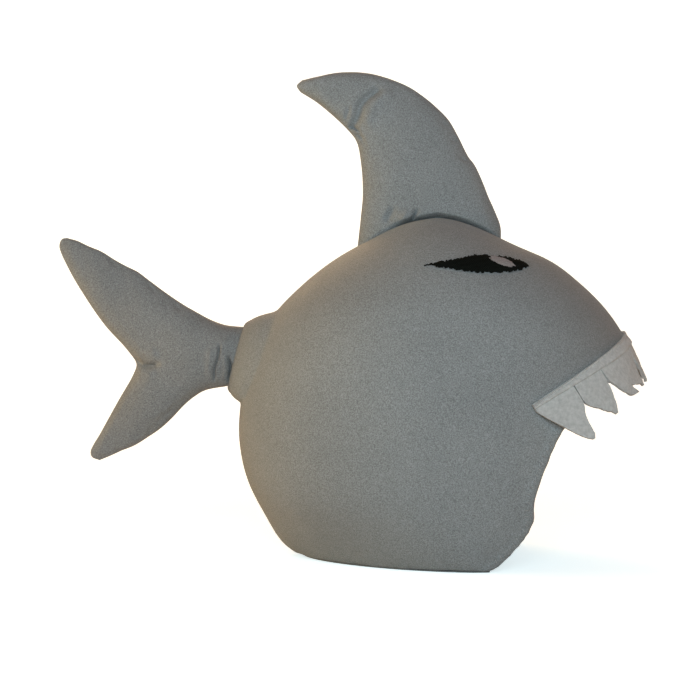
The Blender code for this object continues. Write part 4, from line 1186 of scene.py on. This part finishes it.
for side_name, side in (("left", 1), ("right", -1)):
    def eye_place(u, v, side=side):
        x = EYE_TOP[0][0] + (EYE_TOP[-1][0] - EYE_TOP[0][0]) * u
        slim = smooth(np.minimum(u, 1 - u), 0.0, 0.05)
        low = np.interp(x, *eye_bottom.T) - jagged(x, 0.0007, 3.0 + side) * slim
        high = np.interp(x, *eye_top.T) + jagged(x, 0.0007, 8.0 + side) * slim
        z = low + np.maximum(high - low, 0.0002) * v
        swell = np.sqrt(np.clip(4 * v * (1 - v), 0, 1)) * np.sqrt(np.clip(4 * u * (1 - u), 0, 1))
        lie = 0.00022 * np.sin((x * 0.8 + z * 0.6) * 2 * math.pi / 0.0011)
        return on_hood(x, z, side, 0.0006 + 0.0006 * swell + lie * swell)
    eye = laid_grid(f"eye_stitching_{side_name}", 210, 18, eye_place)
    turn_outward(eye)
    finish_with(eye, "SOLIDIFY", thickness=0.0007, offset=-1.0)
    shaded(eye, black_thread, 60)
    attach(eye, "root")
    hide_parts(f"eye_{side_name}")

    def shine_place(u, v, side=side):
        turn = 2 * math.pi * u
        ragged = 1 + 0.12 * jagged(turn * 0.01, 1.0, 12.0 + side)
        along = 0.0090 * v * np.cos(turn) * ragged
        across = 0.0026 * v * np.sin(turn) * ragged
        tilt = math.radians(-19)
        x = 0.0968 + along * math.cos(tilt) - across * math.sin(tilt)
        z = 0.2060 + along * math.sin(tilt) + across * math.cos(tilt)
        lie = 0.00018 * np.sin((x * 0.8 + z * 0.6) * 2 * math.pi / 0.0011)
        return on_hood(x, z, side, 0.0016 + 0.0004 * (1 - v ** 4) + lie)
    shine = laid_grid(f"eye_shine_{side_name}", 96, 12, shine_place)
    mended(shine, merge=0.00002)
    turn_outward(shine)
    finish_with(shine, "SOLIDIFY", thickness=0.0006, offset=-1.0)
    shaded(shine, pale_thread, 60)
    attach(shine, "root")
    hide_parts(f"eye_glint_{side_name}")

# The teeth.  One strip of pale grey felt sewn on round the brim by its top edge, with eleven
# uneven points cut into it by hand.  The points hang free below the fold and fray at their edges.
BAND_REAR = (0.114, 0.111)
BAND_FRONT = (0.1900, 0.1602)
LEAN = math.radians(29.5)
drop = np.array([math.sin(LEAN), 0.0, -math.cos(LEAN)])


def strip_line():
    """Top edge of the strip, from its right rear end round the nose to its left rear end."""
    slope = (BAND_FRONT[1] - BAND_REAR[1]) / (BAND_FRONT[0] - BAND_REAR[0])
    x = BAND_REAR[0] + (BAND_FRONT[0] - BAND_REAR[0]) * np.sin(np.linspace(0, math.pi / 2, 300))
    z = BAND_REAR[1] + (x - BAND_REAR[0]) * slope
    half = np.stack([x, side_y(x, z), z], axis=1)
    half[-1] = (BAND_FRONT[0] + 0.0005, 0.0, BAND_FRONT[1])
    half = soften(resample(half, 400), 0.004)
    right = half * np.array([1, -1, 1])
    line = np.concatenate([right, half[-2::-1]])
    return resample(soften(resample(line, 900), 0.004), 900)


strip = strip_line()
strip_steps = lengths(strip)
STRIP_LONG = strip_steps[-1]
strip_run = np.gradient(strip, axis=0)
strip_run /= np.linalg.norm(strip_run, axis=1)[:, None]
strip_out = -np.cross(strip_run, drop)
strip_out /= np.linalg.norm(strip_out, axis=1)[:, None]


def on_strip(along, down, lift):
    """Place at a distance along the strip, down from its top edge, and raised off it."""
    spot = np.stack([np.interp(along, strip_steps, strip[:, k]) for k in range(3)], axis=-1)
    out = np.stack([np.interp(along, strip_steps, strip_out[:, k]) for k in range(3)], axis=-1)
    return spot + drop * down[..., None] + out * lift[..., None]


felt, tree, surface = finish_material("grey felt", (0.46, 0.46, 0.445), 0.95, 0.15)
where = tree.nodes.new("ShaderNodeTexCoord").outputs["Object"]
mottled(tree, surface, (0.50, 0.50, 0.485), (0.36, 0.36, 0.350), 420.0, where, 6.0, (0.32, 0.68))
hairs = new_node(tree, "ShaderNodeTexNoise", Scale=1900.0, Detail=5.0, Distortion=1.5)
tree.links.new(where, hairs.inputs["Vector"])
raised(tree, surface, hairs.outputs["Fac"], 0.8, 0.0006)
surface.inputs["Sheen Weight"].default_value = 0.25
surface.inputs["Sheen Roughness"].default_value = 0.6

FELT = 0.0020


def band_wide(along):
    """Width of the stitched-down part: it narrows towards both ends of the strip."""
    from_end = np.minimum(along, STRIP_LONG - along)
    return 0.0026 + 0.0058 * smooth(from_end, -0.010, 0.100)


def band_place(u, v):
    """The stitched-down part of the strip: u along it, v down it."""
    along = STRIP_LONG * u
    frayed = 0.00030 * ripple(along, 0.0012, 6.0) * (v < 1e-6)
    sewn = -0.0006 * np.exp(-((v - 0.25) / 0.10) ** 2)
    puff = 0.0005 * ripple(along, 0.0070, 2.5) + 0.0006 * smooth(v, 0.4, 0.9)
    puff = puff - 0.0012 * smooth(v, 0.90, 1.0)
    return on_strip(along, band_wide(along) * v - frayed, 0.0010 + FELT + sewn + puff)


band = laid_grid("felt_band", 620, 16, band_place)
turn_outward(band)
finish_with(band, "SOLIDIFY", thickness=FELT, offset=-1.0)
shaded(band, felt, 60)
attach(band, "root")
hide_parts("teeth_band")

# Edges of each point, as (along the strip, down from its top edge) in millimetres, counted from
# the right rear end.  The left side is cut like the right, and three more points fill the front.
TOOTH_EDGES = {
    1: (((0, 2), (0.4, 5), (2.0, 8), (5.2, 13.5), (9.0, 19.5), (12.6, 25.5), (16.6, 31.7),
         (20.4, 36.6), (24.2, 40.4)),
        ((31.6, 2), (31.4, 18.5), (28.9, 23.0), (28.0, 27.5), (27.5, 33), (27.0, 38.0),
         (25.7, 40.4))),
    2: (((32.5, 4), (32.9, 18.5), (34.6, 21.2), (39.7, 26.2), (42.2, 29.2), (46.0, 32.6),
         (49.2, 36.0)),
        ((57.4, 4), (57.2, 13.5), (56.6, 19.0), (55.2, 24.5), (53.2, 30.0), (51.9, 33.8),
         (50.8, 36.0))),
    3: (((57.9, 4), (59.4, 15.0), (62.8, 21.0), (65.8, 25.8), (69.2, 30.0), (72.6, 33.0),
         (76.5, 34.4), (80.4, 34.8)),
        ((79.3, 4), (79.2, 17), (78.4, 24.5), (78.6, 29.5), (80.6, 33.0), (81.4, 34.8))),
    4: (((79.8, 4), (79.9, 18), (80.9, 25.0), (83.9, 29.0), (89.5, 30.8), (96.0, 32.6),
         (101.6, 35.4)),
        ((105.0, 4), (104.3, 11.5), (102.3, 19), (100.9, 26), (102.4, 35.4))),
}
TOTAL = STRIP_LONG * 1000
FAR_EIGHTH = 4.5   # the eighth point is cut this much fuller than the fourth
FRONT_CUTS = (105.6, 134.5, TOTAL - 134.5, TOTAL - 105.6)
FRONT_TIPS = (0.80, 0.46, 0.22)
FRONT_LONG = (37.5, 36.5, 37.0)
SWINGS_OUT = (0.0028, 0.0026, 0.0004, -0.0026, -0.0032, -0.0026, -0.0032, -0.0026, 0.0004, 0.0026,
              0.0028)


def tooth_edges(index):
    """Left and right edge of one point."""
    if index in TOOTH_EDGES:
        return TOOTH_EDGES[index]
    if 12 - index in TOOTH_EDGES:
        left, right = TOOTH_EDGES[12 - index]
        fuller = FAR_EIGHTH if index == 8 else 0.0
        return (tuple((TOTAL - along, down) for along, down in right),
                tuple((TOTAL - along + fuller * float(smooth(down, 24, 30)), down)
                      for along, down in left))
    start, stop = FRONT_CUTS[index - 5] + 0.35, FRONT_CUTS[index - 4] - 0.35
    tip, long = start + (stop - start) * FRONT_TIPS[index - 5], FRONT_LONG[index - 5]
    left = ((start, 4), (start + 0.2, 14), (start + (tip - start) * 0.24, 23),
            (start + (tip - start) * 0.62, 31), (tip - 0.9, long))
    right = ((stop, 4), (stop - 0.2, 15), (stop - (stop - tip) * 0.34, 22),
             (stop - (stop - tip) * 0.72, 31), (tip + 0.9, long))
    return left, right


for index in range(1, 12):
    left, right = (np.array(edge) / 1000 for edge in tooth_edges(index))
    left, right = soften(spline(left, 400), 0.0006), soften(spline(right, 400), 0.0006)
    long = max(left[-1, 1], right[-1, 1])
    swing = SWINGS_OUT[index - 1]

    def tooth_place(u, v, left=left, right=right, long=long, index=index, swing=swing):
        v = 1 - (1 - v) ** 1.35
        top = band_wide(left[0, 0] + (right[0, 0] - left[0, 0]) * u) - 0.0008
        down = top + (long - top) * v
        one = np.interp(down, left[:, 1], left[:, 0])
        two = np.interp(down, right[:, 1], right[:, 0])
        worn = smooth(v, 0.15, 0.3)
        one = one + 0.00028 * ripple(down, 0.0009, index + 0.1) * worn
        two = two + 0.00028 * ripple(down, 0.0009, index + 20.7) * worn
        along = one + (two - one) * u
        wavy = 0.0010 * ripple(along + down * 3, 0.012, index + 3.3) * v
        lift = 0.0004 + FELT + swing * v ** 1.3 + wavy
        return on_strip(along, down, lift)
    tooth = laid_grid(f"felt_tooth_{index}", 34, 56, tooth_place)
    turn_outward(tooth)
    finish_with(tooth, "SOLIDIFY", thickness=FELT, offset=-1.0)
    shaded(tooth, felt, 60)
    middle = np.array([(left[0, 0] + right[0, 0]) / 2])
    fold = on_strip(middle, band_wide(middle), np.array([0.002]))[0]
    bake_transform(tooth)
    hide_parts(f"tooth_{index}")
